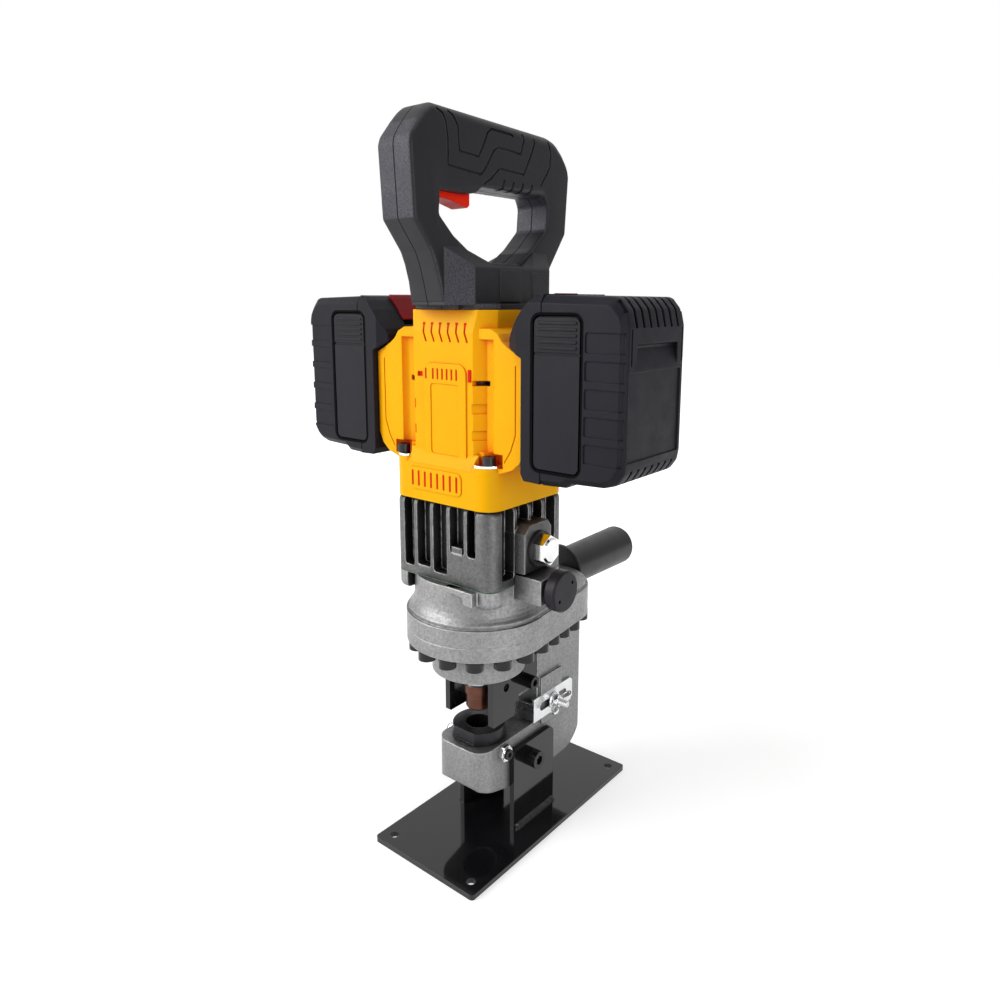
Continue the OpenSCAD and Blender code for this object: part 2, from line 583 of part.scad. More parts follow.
module pump_body() color("#b4b6b8") place() difference() {
  union() {
    translate([0, 0, joint_z + seat]) linear_extrude(pump_flange_z - 3 - joint_z - seat) flange_plan();
    translate([0, 0, pump_flange_z - 3 - e]) linear_extrude(3 + e) flange_plan(flange_r - 2, 2);
    zcyl(neck_r, pump_flange_z - e, pump_top);
    rotate_extrude() polygon([[neck_r - 1, pump_flange_z - e], [flange_r - 2.2, pump_flange_z - e], [flange_r - 3.7, pump_flange_z + 0.16 * neck_fillet], [neck_r + 1.5, pump_flange_z + 0.38 * neck_fillet],
      [neck_r + 0.6, pump_flange_z + 0.64 * neck_fillet], [neck_r, pump_flange_z + neck_fillet], [neck_r - 1, pump_flange_z + neck_fillet]]);
    box(40, valve_x, -valve_hw, valve_hw, valve_z0, pump_top);
    box(fin_hx + 0.3, valve_x, -valve_hw, valve_hw, pump_top - e, valve_z1);
  }
  // pump chamber with the lower bearing seat and the pressure port
  zcyl(27, chamber_z, pump_top + 1, 0, motor_y);
  zcyl(9, chamber_z - 8, chamber_z + 1, 0, motor_y);
  zcyl(2, joint_z - 1, chamber_z + 1, 17, 0);
  xcyl(valve_r + run_gap, valve_x - 13.7, valve_x + 1, 0, valve_z);
  xcyl(3, 44, valve_x - 10, 0, valve_z);
  translate([0, motor_y, 0]) for (a = [0, 120, 240]) rotate(a) xcyl(plunger_r + run_gap, 20, 36, 0, cam_z);
  ycyl(6 + bolt_gap, col_y1 - 18, col_y1 + 1, 0, side_z);
  for (p = fbolts) zcyl(fbolt_r + bolt_gap, joint_z - 1, joint_z + 10, p[0], p[1]);
}
module flange_bolts() color("#1a1b1c") place() for (p = fbolts) translate([p[0], p[1], 0]) difference() {
  union() { zcyl(fbolt_r, flange_z0 - seat - e, joint_z + 9, $fn = 16); zcyl(fbolt_head_r, flange_z0 - fbolt_head_h - seat, flange_z0 - seat, $fn = 24); }
  translate([0, 0, flange_z0 - fbolt_head_h - seat - 1]) cylinder(r = 3.4, h = 5, $fn = 6);
}
module release_valve() color("#8f9296") place() union() {
  xcyl(valve_r, valve_x - 10, valve_x + knob_gap + 1, 0, valve_z);
  translate([valve_x - 10 + e, 0, valve_z]) rotate([0, -90, 0]) cylinder(r1 = valve_r, r2 = 2.5, h = 3.5);
}
module release_knob() color("#2a2b2f") place() difference() {
  union() {
    xcyl(knob_r, valve_x + knob_gap, valve_x + knob_gap + knob_t - 1.2, 0, valve_z);
    translate([valve_x + knob_gap + knob_t - 1.2 - e, 0, valve_z]) rotate([0, 90, 0]) cylinder(r1 = knob_r, r2 = knob_r - 1.2, h = 1.2);
  }
  xcyl(valve_r + bolt_gap, valve_x, valve_x + knob_gap + 4, 0, valve_z);
  for (s = [-1, 1]) xcyl(1.3, valve_x + knob_gap + knob_t - 4, valve_x + knob_gap + knob_t + 1, s * 7.5, valve_z + s * 5);
}
module oil_plug() color("#dcdde0") place() union() {
  xcyl(7, plug_x - 9, plug_x + 2.6, 0, plug_z);
  translate([plug_x + 2.5, 0, plug_z]) rotate([0, 90, 0]) cylinder(r = plug_af / 2 / cos(30), h = 8, $fn = 6);
  translate([plug_x + 10.5 - e, 0, plug_z]) rotate([0, 90, 0]) cylinder(r1 = plug_af / 2 - 0.4, r2 = plug_af / 2 - 1.8, h = 1.2);
}
module plug_seal() color("#151515") place() difference() {
  xcyl(12.5, plug_x + seat, plug_x + 2.45, 0, plug_z);
  xcyl(7 + bolt_gap, plug_x - 1, plug_x + 4, 0, plug_z);
}
module fin_plan() translate([0, motor_y]) rrect(2 * fin_hx, 2 * fin_hy, fin_r);
groove_x = [for (k = [-2:2]) k * fin_pitch];
module gear_housing() color("#8f9294") place() difference() {
  union() {
    translate([0, 0, pump_top + seat]) linear_extrude(fin_top - pump_top - seat) fin_plan();
    box(fin_hx - 9, plug_x, -plug_boss_r, plug_boss_r, plug_z, plug_z + 15);
    xcyl(plug_boss_r, fin_hx - 9, plug_x, 0, plug_z);
    // feet of the corner pillars, outside the neck of the pump casting
    difference() {
      translate([0, 0, pump_top - foot_h]) linear_extrude(foot_h + 1) intersection() { fin_plan(); for (x = [-1, 1], y = [-1, 1]) translate([x * fin_hx, motor_y + y * fin_hy]) square(2 * pillar_w, center = true); }
      zcyl(neck_r + 0.3, pump_top - foot_h - 1, pump_top + seat);
    }
  }
  // gear chamber, ledge for the cover, output bearing seat and layshaft bush
  box(-cavity_h, cavity_h, motor_y - cavity_h, motor_y + cavity_h, gear_floor, fin_top + 1);
  box(-cavity_h - 1.5, cavity_h + 1.5, motor_y - cavity_h - 1.5, motor_y + cavity_h + 1.5, cover_z, fin_top + 1);
  zcyl(13, pump_top - 1, gear_floor + 1, 0, motor_y);
  zcyl(5 + run_gap, pump_top + 1, gear_floor + 1, lay_x, lay_y);
  // grooves between the fins, front and rear
  for (s = [-1, 1], k = [-2:2]) {
    w = fin_pitch - fin_t; x0 = k * fin_pitch - w / 2;
    x1 = k == 2 ? min(x0 + w, fin_hx - pillar_w) : x0 + w; x2 = k == -2 ? max(x0, -fin_hx + pillar_w) : x0;
    box(x2, x1, s > 0 ? motor_y + fin_hy - groove_d : motor_y - fin_hy - 1, s > 0 ? motor_y + fin_hy + 1 : motor_y - fin_hy + groove_d, (k == 1 && s < 0) ? 240 : 224, fin_top - 3);
  }
  // grooves between the fins on both sides
  for (s = [-1, 1], k = [-1.5:1:1.5]) {
    w = fin_pitch - fin_t; y0 = motor_y + k * fin_pitch - w / 2;
    box(s > 0 ? fin_hx - groove_d : -fin_hx - 1, s > 0 ? fin_hx + (abs(k) < 1 ? 12 : 1) : -fin_hx + groove_d, y0, y0 + w, (abs(k) < 1 && s > 0) ? 259 : 224, fin_top - 3);
  }
  xcyl(7 + bolt_gap, plug_x - 10, plug_x + 1, 0, plug_z);
  for (p = screw_pos) zcyl(screw_r + bolt_gap, fin_top - 16, fin_top + 1, p[0], p[1]);
}
module side_stud() color("#86898d") place() ycyl(6, col_y1 - 17, col_y1 + 60, 0, side_z);
module side_grip() color("#2b2c2e") place() difference() {
  translate([0, col_y1, side_z]) rotate([-90, 0, 0]) rotate_extrude()
    polygon([[0, seat], [guard_r - 0.6, seat], [guard_r, 0.6], [guard_r, 3], [guard_r - 2, guard_t], [grip_r0, guard_t + 0.5], [grip_r1, guard_t + grip_l - 3.5], [grip_r1 - 0.6, guard_t + grip_l - 2], [grip_r1 - 2.5, guard_t + grip_l - 1], [0, guard_t + grip_l - 1]]);
  ycyl(6 + bolt_gap, col_y1 - 1, col_y1 + 61, 0, side_z);
}

// outline of the motor housing with corner facets
module oct(hx, y0, y1, c) polygon([[-hx, y0 + c], [-hx + c, y0], [hx - c, y0], [hx, y0 + c], [hx, y1 - c], [hx - c, y1], [-hx + c, y1], [-hx, y1 - c]]);
module collar_plan() translate([0, motor_y]) rrect(2 * fin_hx + 1, 2 * fin_hy + 1, 13);
module housing_outer() {
  // collar
  translate([0, 0, fin_top + 0.4]) linear_extrude(skirt_top - fin_top - 0.4) collar_plan();
  // body, in two lifts with the upper front leaning back
  translate([0, 0, skirt_top - e]) linear_extrude(lean_z - skirt_top + e) oct(body_hx, -body_front, body_rear, body_ch);
  intersection() {
    translate([0, 0, lean_z - e]) linear_extrude(body_top - lean_z + e) oct(body_hx, -body_front, body_rear, body_ch);
    along_x(-60, 60) polygon([[-body_front, lean_z - 1], [-body_front, lean_z], [-top_front, body_top], [60, body_top], [60, lean_z - 1]]);
  }
  // docks
  both() dock_blank();
  // sloping shoulder between collar and front face
  along_x(-screw_pos[0][0] + 8.5, screw_pos[0][0] - 8.5) polygon([[motor_y - fin_hy, skirt_top - 1], [motor_y - fin_hy, skirt_top], [-body_front + 1, shoulder_z], [-body_front + 1, skirt_top - 1]]);
  // raised panel on the front face and raised field around the lower vents
  along_y(-body_front - panel_d, -body_front + 1) translate([panel_cx, (skirt_top + panel_z1) / 2]) rrect(2 * panel_hw, panel_z1 - skirt_top, 7);
  along_y(motor_y - fin_hy - 1.2, motor_y - fin_hy + 1) translate([vent_cx, 288.5]) rrect(50, 16, 4);
}
module dock_blank() {
  along_y(-dock_hy, dock_hy) polygon([[30, 298], [46.5, 298.6], [58, 302.5], [64.5, 308], [dock_x, 316], [dock_x, 375.3], [55, 382], [50, 385.5], [46, 391], [39.5, 394], [30, 394]]);
}
module housing_inner() {
  translate([0, 0, fin_top - 1]) linear_extrude(skirt_top - fin_top - 2) translate([0, motor_y]) rrect(2 * fin_hx - 2 * wall, 2 * fin_hy - 2 * wall, 10);
  translate([0, 0, skirt_top - 4]) linear_extrude(lean_z - skirt_top + 3) oct(body_hx - wall, -body_front + wall, body_rear - wall, body_ch - 1);
  intersection() { translate([0, 0, lean_z - 2]) linear_extrude(body_top - lean_z - wall + 2) oct(body_hx - wall, -body_front + wall + 2, body_rear - wall, body_ch);
    box(-60, 60, -60, 60, lean_z - 3, body_top - wall); }
  // hollow of the docks behind the battery guide
  both() box(30, 55, -dock_hy + 2 * wall, dock_hy - 2 * wall, 316, 372);
}
// T-shaped battery guide, open upwards
module guide() {
  box(56.75, 62.75, -20.5, 20.5, guide_z, 420);
  box(62.7, 72, -17.5, 17.5, guide_z, 420);
}
vents = [for (k = [0:5]) -17.7 + k * 7.58];
module housing_cuts() {
  both() guide();
  for (x = vents) along_y(-60, -body_front + 8) polygon([[x - 0.8, 397], [x - 0.8, lean_z], [x + 1.7, 384.5], [x + 3.3, 384.5], [x + 0.8, lean_z], [x + 0.8, 397]]);
  for (x = concat([-15, 24.8], [for (k = [0:5]) -8.2 + k * 4.35])) box(x - 0.8, x + 0.8, -60, -body_front + 8, 359, 366.4);
  for (k = [0:7]) box(vent_cx + (k - 3.5) * 6 - 0.95, vent_cx + (k - 3.5) * 6 + 0.95, -60, -30, 283, 294);
  box(-24, -19, -60, -body_front + 4, 360.2, 363.6);
  // slot and notches in the front facets
  both() { box(body_hx - body_ch - 0.5, body_hx - 2.5, -body_front - 2, -body_front + 9, 356.2, 359.6); for (z = [319.5, 337.5]) facet_notch(z, 6.5); }
  // label field inside the raised panel
  along_y(-body_front - 8, -body_front - panel_d + 0.6) translate([2.4, (307 + 356) / 2]) rrect(26.4, 356 - 307, 2.5);
  // fine outline on the sides of the docks
  both() for (s = [-1, 1]) along_y(s * dock_hy - 0.5, s * dock_hy + 0.5) polygon(band([[dock_x - 7, 371], [dock_x - 7, 326], [dock_x - 11, 315], [52, 307]], 0.9));
  // scooped channel at the root of each dock
  both() {
    zcyl(channel_r, channel_z0, channel_z1, body_hx - 1.4, -dock_hy - 1.2);
    translate([0, 0, channel_z0]) linear_extrude(channel_z1 - channel_z0) polygon([for (d = [[10, -2], [5.2, 2.8], [1.4, 2.8], [1.4, -2]]) [body_hx - d[0], -body_front + 4 + d[1]]]);
  }
  // room for the screw plates
  for (p = screw_pos) translate([0, 0, lug_top]) linear_extrude(9.5) screw_plate_plan(p, 0.4);
}
module facet_notch(z, h) translate([body_hx - body_ch / 2, -body_front + body_ch / 2, z]) rotate(45) translate([-body_ch * 0.84, -3, 0]) cube([body_ch * 0.92, 3.9, h]);
// plate under a housing screw, cut to the corner of the collar
module screw_plate_plan(p, d) translate([p[0], p[1]]) rotate(p[0] * p[1] < 0 ? 45 : -45) rrect(plate_len + 2 * d, 11 + 2 * d, 3);
module housing_lugs() for (p = screw_pos) { translate([0, 0, fin_top + 0.4]) linear_extrude(lug_top - fin_top - 0.4) intersection() { screw_plate_plan(p, 1); collar_plan(); } }
// webs that hold the stator and the upper bearing
module housing_webs() {
  for (z = rib_z) translate([0, 0, z]) linear_extrude(3) difference() { web_plan(); translate([0, motor_y]) circle(27.15); }
  translate([0, 0, top_rib]) linear_extrude(8) difference() { web_plan(); translate([0, motor_y]) circle(11.1); }
}
module web_plan() intersection() { oct(body_hx - 1, -body_front + 1, body_rear - 1, body_ch - 1); translate([-60, -28.5]) square([120, 90]); }
module shell_all() difference() {
  union() { difference() { housing_outer(); housing_inner(); } housing_lugs(); housing_webs(); }
  housing_cuts();
  for (p = screw_pos) zcyl(screw_r + bolt_gap, fin_top - 1, lug_top + 9, p[0], p[1]);
}
module housing_front() color("#f5a81c") place() intersection() { shell_all(); box(-90, 90, -90, split_y - 0.02, 200, 450); }
module housing_rear() color("#f5a81c") place() intersection() { shell_all(); box(-90, 90, split_y + 0.02, 90, 200, 450); }
module housing_screws() color("#1b1b1d") place() for (p = screw_pos) translate([p[0], p[1], 0]) difference() {
  union() { zcyl(screw_r, fin_top - 15, lug_top + 1.9, $fn = 16); zcyl(4.6, lug_top + 1.8, lug_top + 7.6, $fn = 24); }
  translate([0, 0, lug_top + 5]) cylinder(r = 2.5, h = 5, $fn = 6);
}
module screw_washers() color("#d8d9da") place() for (p = screw_pos) difference() {
  translate([0, 0, lug_top + seat]) linear_extrude(1.7 - seat) intersection() { screw_plate_plan(p, 0); collar_plan(); }
  zcyl(screw_r + bolt_gap, lug_top - 1, lug_top + 3, p[0], p[1]);
}
// red liner seen through the vents
module vent_liner() color("#c4161c") place() union() {
  y0 = motor_y - fin_hy + wall + 0.3; y1 = -body_front + wall + 0.3; z0 = skirt_top - 4.8;
  box(-27, 27, y0, y0 + 1.5, fin_top + 4.5, z0 + 1.5);
  box(-24.5, 24.5, y0, y1 + 1.5, z0, z0 + 1.5);
  box(-24.5, 24.5, y1, y1 + 1.5, z0, lean_z - 2);
}

// spur gear outline with narrow straight-flanked teeth that run with backlash
module gear2d(z, m) {
  rp = z * m / 2; ra = rp + 0.8 * m; rf = rp - 1.1 * m; pa = 360 / z;
  polygon([for (i = [0:z - 1]) each [
    [rf * cos(i * pa - pa * 0.30), rf * sin(i * pa - pa * 0.30)],
    [rp * cos(i * pa - pa * 0.195), rp * sin(i * pa - pa * 0.195)],
    [ra * cos(i * pa - pa * 0.085), ra * sin(i * pa - pa * 0.085)],
    [ra * cos(i * pa + pa * 0.085), ra * sin(i * pa + pa * 0.085)],
    [rp * cos(i * pa + pa * 0.195), rp * sin(i * pa + pa * 0.195)],
    [rf * cos(i * pa + pa * 0.30), rf * sin(i * pa + pa * 0.30)]]]);
}

module gear(z, w, z0) translate([0, 0, z0]) linear_extrude(w) gear2d(z, gm);
module motor_stator() color("#6f7376") place() translate([0, motor_y, 0]) difference() {
  union() { zcyl(27, 300, 350); zring(24, 20, 294, 357); }
  zcyl(19.6, 290, 360);
}
// rotor stack on the motor shaft, which carries the motor pinion
module rotor() color("#8a8d90") place() translate([0, motor_y, 0]) union() {
  zcyl(19, 300, 350);
  zcyl(4, gear_z1 - 1, top_rib + 8);
  zcyl(7, 350 - e, 356);
  rotate(45) gear(za, gear_w + 1, gear_z1 - 0.5);
}
module commutator() color("#b4713f") place() translate([0, motor_y, 0]) zring(10, 4 + 0.05, 357, 369);
module brushes() color("#3b3b3d") place() translate([0, motor_y, 0]) for (s = [0, 180]) rotate(s) difference() {
  box(10.4, 27, -4, 4, 359, 367); zcyl(10.3, 350, 370);
}
module brush_holders() color("#c9b06a") place() translate([0, motor_y, 0]) difference() {
  union() { zring(24, 13, 357 + seat, 358.6); for (s = [0, 180]) rotate(s) box(14, 33, -5.5, 5.5, 357 + seat, 368.5); }
  for (s = [0, 180]) rotate(s) box(12, 34, -4.1, 4.1, 358.9, 367.1);
}
module fan() color("#3a3d40") place() translate([0, motor_y, 0]) difference() {
  union() { zcyl(30, 279, 281); zcyl(8, 275, 290); for (k = [0:11]) rotate(30 * k) box(7, 29.5, -0.8, 0.8, 281 - e, 290); }
  zcyl(4 + 0.05, 270, 295);
}
module motor_bearings() color("#c3c6c9") place() translate([0, motor_y, 0]) {
  zring(11, 4.03, top_rib + 0.3, top_rib + 7.4);
  zring(11, 4.03, cover_z + 0.4, cover_z + 6.8);
}
module gear_cover() color("#a3a6a8") place() difference() {
  union() {
    box(-cavity_h - 1.4, cavity_h + 1.4, motor_y - cavity_h - 1.4, motor_y + cavity_h + 1.4, cover_z + seat, cover_z + 5);
    zcyl(14, cover_z + 4, cover_z + 9, 0, motor_y);
  }
  zcyl(11.1, cover_z + 0.3, cover_z + 10, 0, motor_y);
  zcyl(8, cover_z - 1, cover_z + 10, 0, motor_y);
  zcyl(5 + run_gap, cover_z - 1, cover_z + 10, lay_x, lay_y);
}
module pump_bearings() color("#c3c6c9") place() translate([0, motor_y, 0]) {
  zring(8.9, 5.04, chamber_z - 7.6, chamber_z - 0.6);
  zring(12.9, 7.04, pump_top + 0.5, gear_floor - 0.4);
}
module layshaft() color("#9aa0a4") place() translate([lay_x, lay_y, 0]) union() {
  zcyl(5, pump_top + 2, cover_z + 4.6);
  rotate(45 + 180 / zb) gear(zb, gear_w, gear_z1);
  rotate(225) gear(zc, gear_w + 1, gear_z2 - 0.5);
}
// crank shaft of the pump with the output wheel on its upper end
module output_shaft() color("#a5a9ac") place() translate([0, motor_y, 0]) union() {
  zcyl(5, chamber_z - 7.4, cam_z - 7 + e);
  zcyl(8, cam_z - 7, cam_z + 7, ecc, 0);
  zcyl(7, cam_z + 7 - e, gear_z2 + 1);
  rotate(45 + 180 / zd) gear(zd, gear_w, gear_z2);
}
module eccentric_bearing() color("#c9ccce") place() translate([ecc, motor_y, 0]) zring(13, 8.04, cam_z - 5, cam_z + 5);
module pump_plungers() color("#b9bcc0") place() translate([0, motor_y, 0]) for (a = [0, 120, 240]) rotate(a) xcyl(plunger_r, 13 + ecc + 0.15, 34, 0, cam_z);

// outline of the handle and of its opening, in (y, z)
handle_out = [[-36, body_top + 0.3], [-36, up(3.6)], [-49.5, up(5.5)], [-52.6, up(18)], [-56, up(29)], [-59.5, up(37)], [2.7 - handle_front, bar_z - 24.5 * hs], [-handle_front, handle_top - 26.8 * hs], [1.2 - handle_front, handle_top - 21.4 * hs],
  [4.8 - handle_front, handle_top - 16.6 * hs], [9.2 - handle_front, handle_top - 10.8 * hs], [14.5 - handle_front, handle_top - 4.8 * hs], [19.5 - handle_front, handle_top - 0.4 * hs], [-54, handle_top], [66, handle_top - top_fall],
  [75.5, handle_top - 4.4 * hs], [82.5, handle_top - 10.3 * hs], [88.2, handle_top - 20.3 * hs], [90.2, handle_top - 29.3 * hs], [86.5, bar_z - 25 * hs], [67, up(29)], [64.9, up(12)], [63, up(5.5)], [52, up(3.6)], [52, body_top + 0.3]];
handle_in = [[-51.6, bar_z - 5.1 * hs], [-51.9, bar_z - 20.8 * hs], [-39, up(47.7)], [-12.5, up(31.5)], [28, up(31.5)], [46.8, up(43.7)], [62.5, bar_z - 22.6 * hs], [64, bar_z - 5.5 * hs], [58, bar_z], [-10.6, bar_z], [-17.9, bar_z - 4.7 * hs], [-24, bar_z - 5.6 * hs]];
// fine lines pressed into both sides of the grip, as y and depth under the top
grip_lines = [for (line = [
  [[-53.9, 3.8], [-48.6, 6.4], [-46, 10.6], [-44.3, 18.7], [-44, 27.8], [-44.2, 36.6], [-28, 37.8], [-12.8, 38.7], [-7.7, 33.9], [1.7, 20.6], [6, 19], [18, 19.4], [30.1, 20.2], [34, 10], [32.3, 6.3]],
  [[-43.1, 3.7], [-38.6, 6.4], [-34.9, 11.8], [-33.3, 26.7], [-14.7, 27.6], [-9.6, 19], [-5.5, 10.8], [-1.4, 8.3], [18.9, 8.7], [22.2, 9.8]],
  [[-9.8, 44.4], [-2.5, 40.3], [7, 32.4], [33.7, 33.5], [42.8, 17.5], [46.3, 9.6], [45.1, 7.7]],
  [[63.2, 7.1], [65.8, 15.7], [64.8, 25], [57.5, 34.2], [53.9, 38.8]]
]) [for (q = line) [q[0], handle_top - q[1] * hs]]];
handle_screw_pos = [[-66, bar_z - 1.5 * hs], [-61, handle_top - 18.8 * hs], [76, handle_top - 24.8 * hs], [74, bar_z - 20.5 * hs], [-40, up(14)], [52, up(16)]];
module foot_plan() polygon([[-foot_hw, -33.3], [-bar_hw, -49], [bar_hw, -49], [foot_hw, -33.3], [foot_hw, 48.3], [bar_hw, 61], [-bar_hw, 61], [-foot_hw, 48.3]]);
// cutter that rounds both upper edges of a bar under the plane z = 0
module edge_round(r, y0, y1) both() difference() {
  box(bar_hw - r, bar_hw + 1, y0, y1, -r, 5);
  ycyl(r, y0 - 1, y1 + 1, bar_hw - r + round_lap, -r);
}
module handle_all() difference() {
  union() {
    along_x(-bar_hw, bar_hw) difference() { polygon(handle_out); polygon(handle_in); }
    difference() {
      intersection() {
        translate([0, 0, up(3)]) linear_extrude(40 * hs) foot_plan();
        along_y(-60, 70) polygon([[-foot_hw, up(3)], [foot_hw, up(3)], [foot_hw, foot_top], [bar_hw, foot_top + 12 * hs], [-bar_hw, foot_top + 12 * hs], [-foot_hw, foot_top]]);
      }
      along_x(-40, 40) polygon(handle_in);
    }
    translate([0, 0, body_top + 0.2]) linear_extrude(3.6) oct(body_hx, -top_front, 48.3, body_ch);
  }
  // rounded edges of the grip bar
  translate([0, -54, handle_top + round_lap]) rotate([-atan(top_fall / 120), 0, 0]) edge_round(grip_round, -40, 160);
  translate([0, -56.5, handle_top + 2.1 * hs]) rotate([atan(tan(49.7) * hs), 0, 0]) edge_round(grip_round - 2, -46, 6);
  translate([0, 71.1, handle_top - top_fall + 4.5 * hs]) rotate([-atan(tan(48.4) * hs), 0, 0]) edge_round(grip_round, -8, 48);
  both() difference() {
    box(bar_hw - under_round, bar_hw + 1, -10.6, 58, bar_z - 1 * hs, bar_z + under_round);
    ycyl(under_round, -12, 60, bar_hw - under_round + round_lap, bar_z + under_round - round_lap);
  }
  both() for (g = grip_lines) along_x(bar_hw - line_d, bar_hw + 1) polygon(band(g, 1.3));
  // hollows of the bars and of the foot
  along_x(-bar_hw + 3, bar_hw - 3) polygon([[9 - handle_front, bar_z + 12.5 * hs], [9 - handle_front, handle_top - 26.8 * hs], [-55, handle_top - 11.8 * hs], [60, handle_top - 11.8 * hs], [74, handle_top - 17.8 * hs], [80, handle_top - 28.8 * hs],
    [78, bar_z - 16.5 * hs], [72, bar_z - 16.5 * hs], [72, bar_z + 11.5 * hs], [14, bar_z + 11.5 * hs], [14, bar_z + 6.5 * hs], [-50.5, bar_z + 6.5 * hs], [-50.5, bar_z + 12.5 * hs]]);
  along_x(-bar_hw + 3, bar_hw - 3) polygon([[9 - handle_front, bar_z + 7.5 * hs], [9 - handle_front, bar_z - 18.5 * hs], [-61, bar_z - 27.5 * hs], [-61, bar_z - 6.5 * hs], [-58, bar_z + 7.5 * hs]]);
  box(-foot_hw + 3, foot_hw - 3, -30, 45, body_top, up(27));
  // slot for the trigger
  box(-trig_hw - 0.3, trig_hw + 0.3, -50.4, -14.6, bar_z - 6.5 * hs, bar_z + 12.5 * hs);
  box(-trig_hw - 1.8, trig_hw + 1.8, -50.4, -14.6, bar_z + 1.8 * hs, bar_z + 12.5 * hs);
  for (p = handle_screw_pos) { xcyl(1.6, -bar_hw + 2, bar_hw - 4, p[0], p[1]); xcyl(3.6, -foot_hw - 1, -bar_hw + 4, p[0], p[1]); }
}
// room that holds one half of the handle
module half_room(s) mirror([s < 0 ? 1 : 0, 0, 0]) box(seat, 2 * foot_hw, -handle_front - 10, 110, body_top - 6, handle_top + 10 * hs);
module handle_left() color("#2e3034") place() intersection() { handle_all(); half_room(-1); }
module handle_right() color("#2e3034") place() intersection() { handle_all(); half_room(1); }
module handle_screws() color("#55585c") place() for (p = handle_screw_pos) difference() {
  union() { xcyl(1.5, -bar_hw + 2, bar_hw - 4.2, p[0], p[1]); xcyl(3.2, -bar_hw + 1, -bar_hw + 4 - seat, p[0], p[1]); }
  translate([-bar_hw, p[0], p[1]]) rotate([0, 90, 0]) cylinder(r = 1.5, h = 2.5, $fn = 6);
}
module trigger() color("#e8431f") place() difference() {
  union() {
    along_x(-trig_hw, trig_hw) polygon([[-50, bar_z - 9.1 * hs], [-40, bar_z - 9.4 * hs], [-30, bar_z - 10.7 * hs], [-17.5, bar_z - 13.6 * hs], [-15.2, bar_z - 11.7 * hs], [-15, bar_z + 3 * hs], [-50, bar_z + 3 * hs]]);
    box(-trig_hw - 1.5, trig_hw + 1.5, -50, -15, bar_z + 2.2 * hs, bar_z + 4.5 * hs);
  }
  zcyl(trig_pocket_r, trig_pocket_z, bar_z + 5.5 * hs, 0, trig_spring_y);
}
module trigger_spring() color("#8d9297") place() translate([0, trig_spring_y, trig_pocket_z + 0.7]) {
  pitch = (switch_z - 0.3 - trig_pocket_z - 1.2) / 4;
  for (i = [0:4]) translate([0, 0, i * pitch]) rotate_extrude($fn = 24) translate([trig_pocket_r - 0.9, 0]) circle(0.5, $fn = 6);
  for (i = [0:3]) zcyl(0.4, i * pitch, (i + 1) * pitch, (i % 2 == 0 ? 1 : -1) * (trig_pocket_r - 0.9), 0, $fn = 12);
}
module switch_body() color("#202124") place() box(-bar_hw + 3.1, bar_hw - 3.1, -48, -12, switch_z, handle_top - 16.8 * hs);

// battery on the +X side
module bat_cavity() box(bat_x0 + 3.5, bat_x1 - 4.3, -bat_hy + 3.5, bat_hy - 3.5, bat_z0 + 5, bat_z1 - 10);
module clip_recess() for (s = [-1, 1]) translate([clip_cx, s * (bat_hy - clip_d + 2), (clip_z0 + clip_z1) / 2]) rotate([90, 0, 0]) linear_extrude(4, center = true) rrect(2 * clip_hw, clip_z1 - clip_z0, 5);
module base_right() difference() {
  union() {
    // case wall with the wedge that reaches over the dock
    intersection() {
      along_y(-bat_hy, bat_hy) polygon([[bat_x0, bat_z0 + 4], [bat_x0 + 2.5, bat_z0 - 0.4], [bat_xj, bat_z0 - 0.8], [bat_xj, bat_z1], [78.4, bat_z1 - 0.8], [74.7, bat_z1 - 3.6], [68.5, 405.6], [61.4, 396.3],
        [58.2, 391.9], [wedge_x, 388.2], [wedge_x, 382.9], [bat_x0, 376.4]]);
      translate([0, 0, 290]) linear_extrude(130) polygon([[50, -bat_hy + 7], [bat_x0 - 4, -bat_hy], [bat_xj + 1, -bat_hy], [bat_xj + 1, bat_hy], [bat_x0 - 4, bat_hy], [50, bat_hy - 7]]);
      case_section();
    }
    box(57, 62.5, -20.2, 20.2, guide_z + seat, 392);
    box(62.4, bat_x0 + 1, -17.2, 17.2, guide_z + seat, 392);
  }
  bat_cavity();
  clip_recess();
  box(60, button_x1 + 0.3, -12.9, 12.9, button_z0 - button_travel - 0.4, 420);
  box(60, button_x1 - 4.8, -12.9, 12.9, button_z0 - button_travel - 3.4, 420);
}
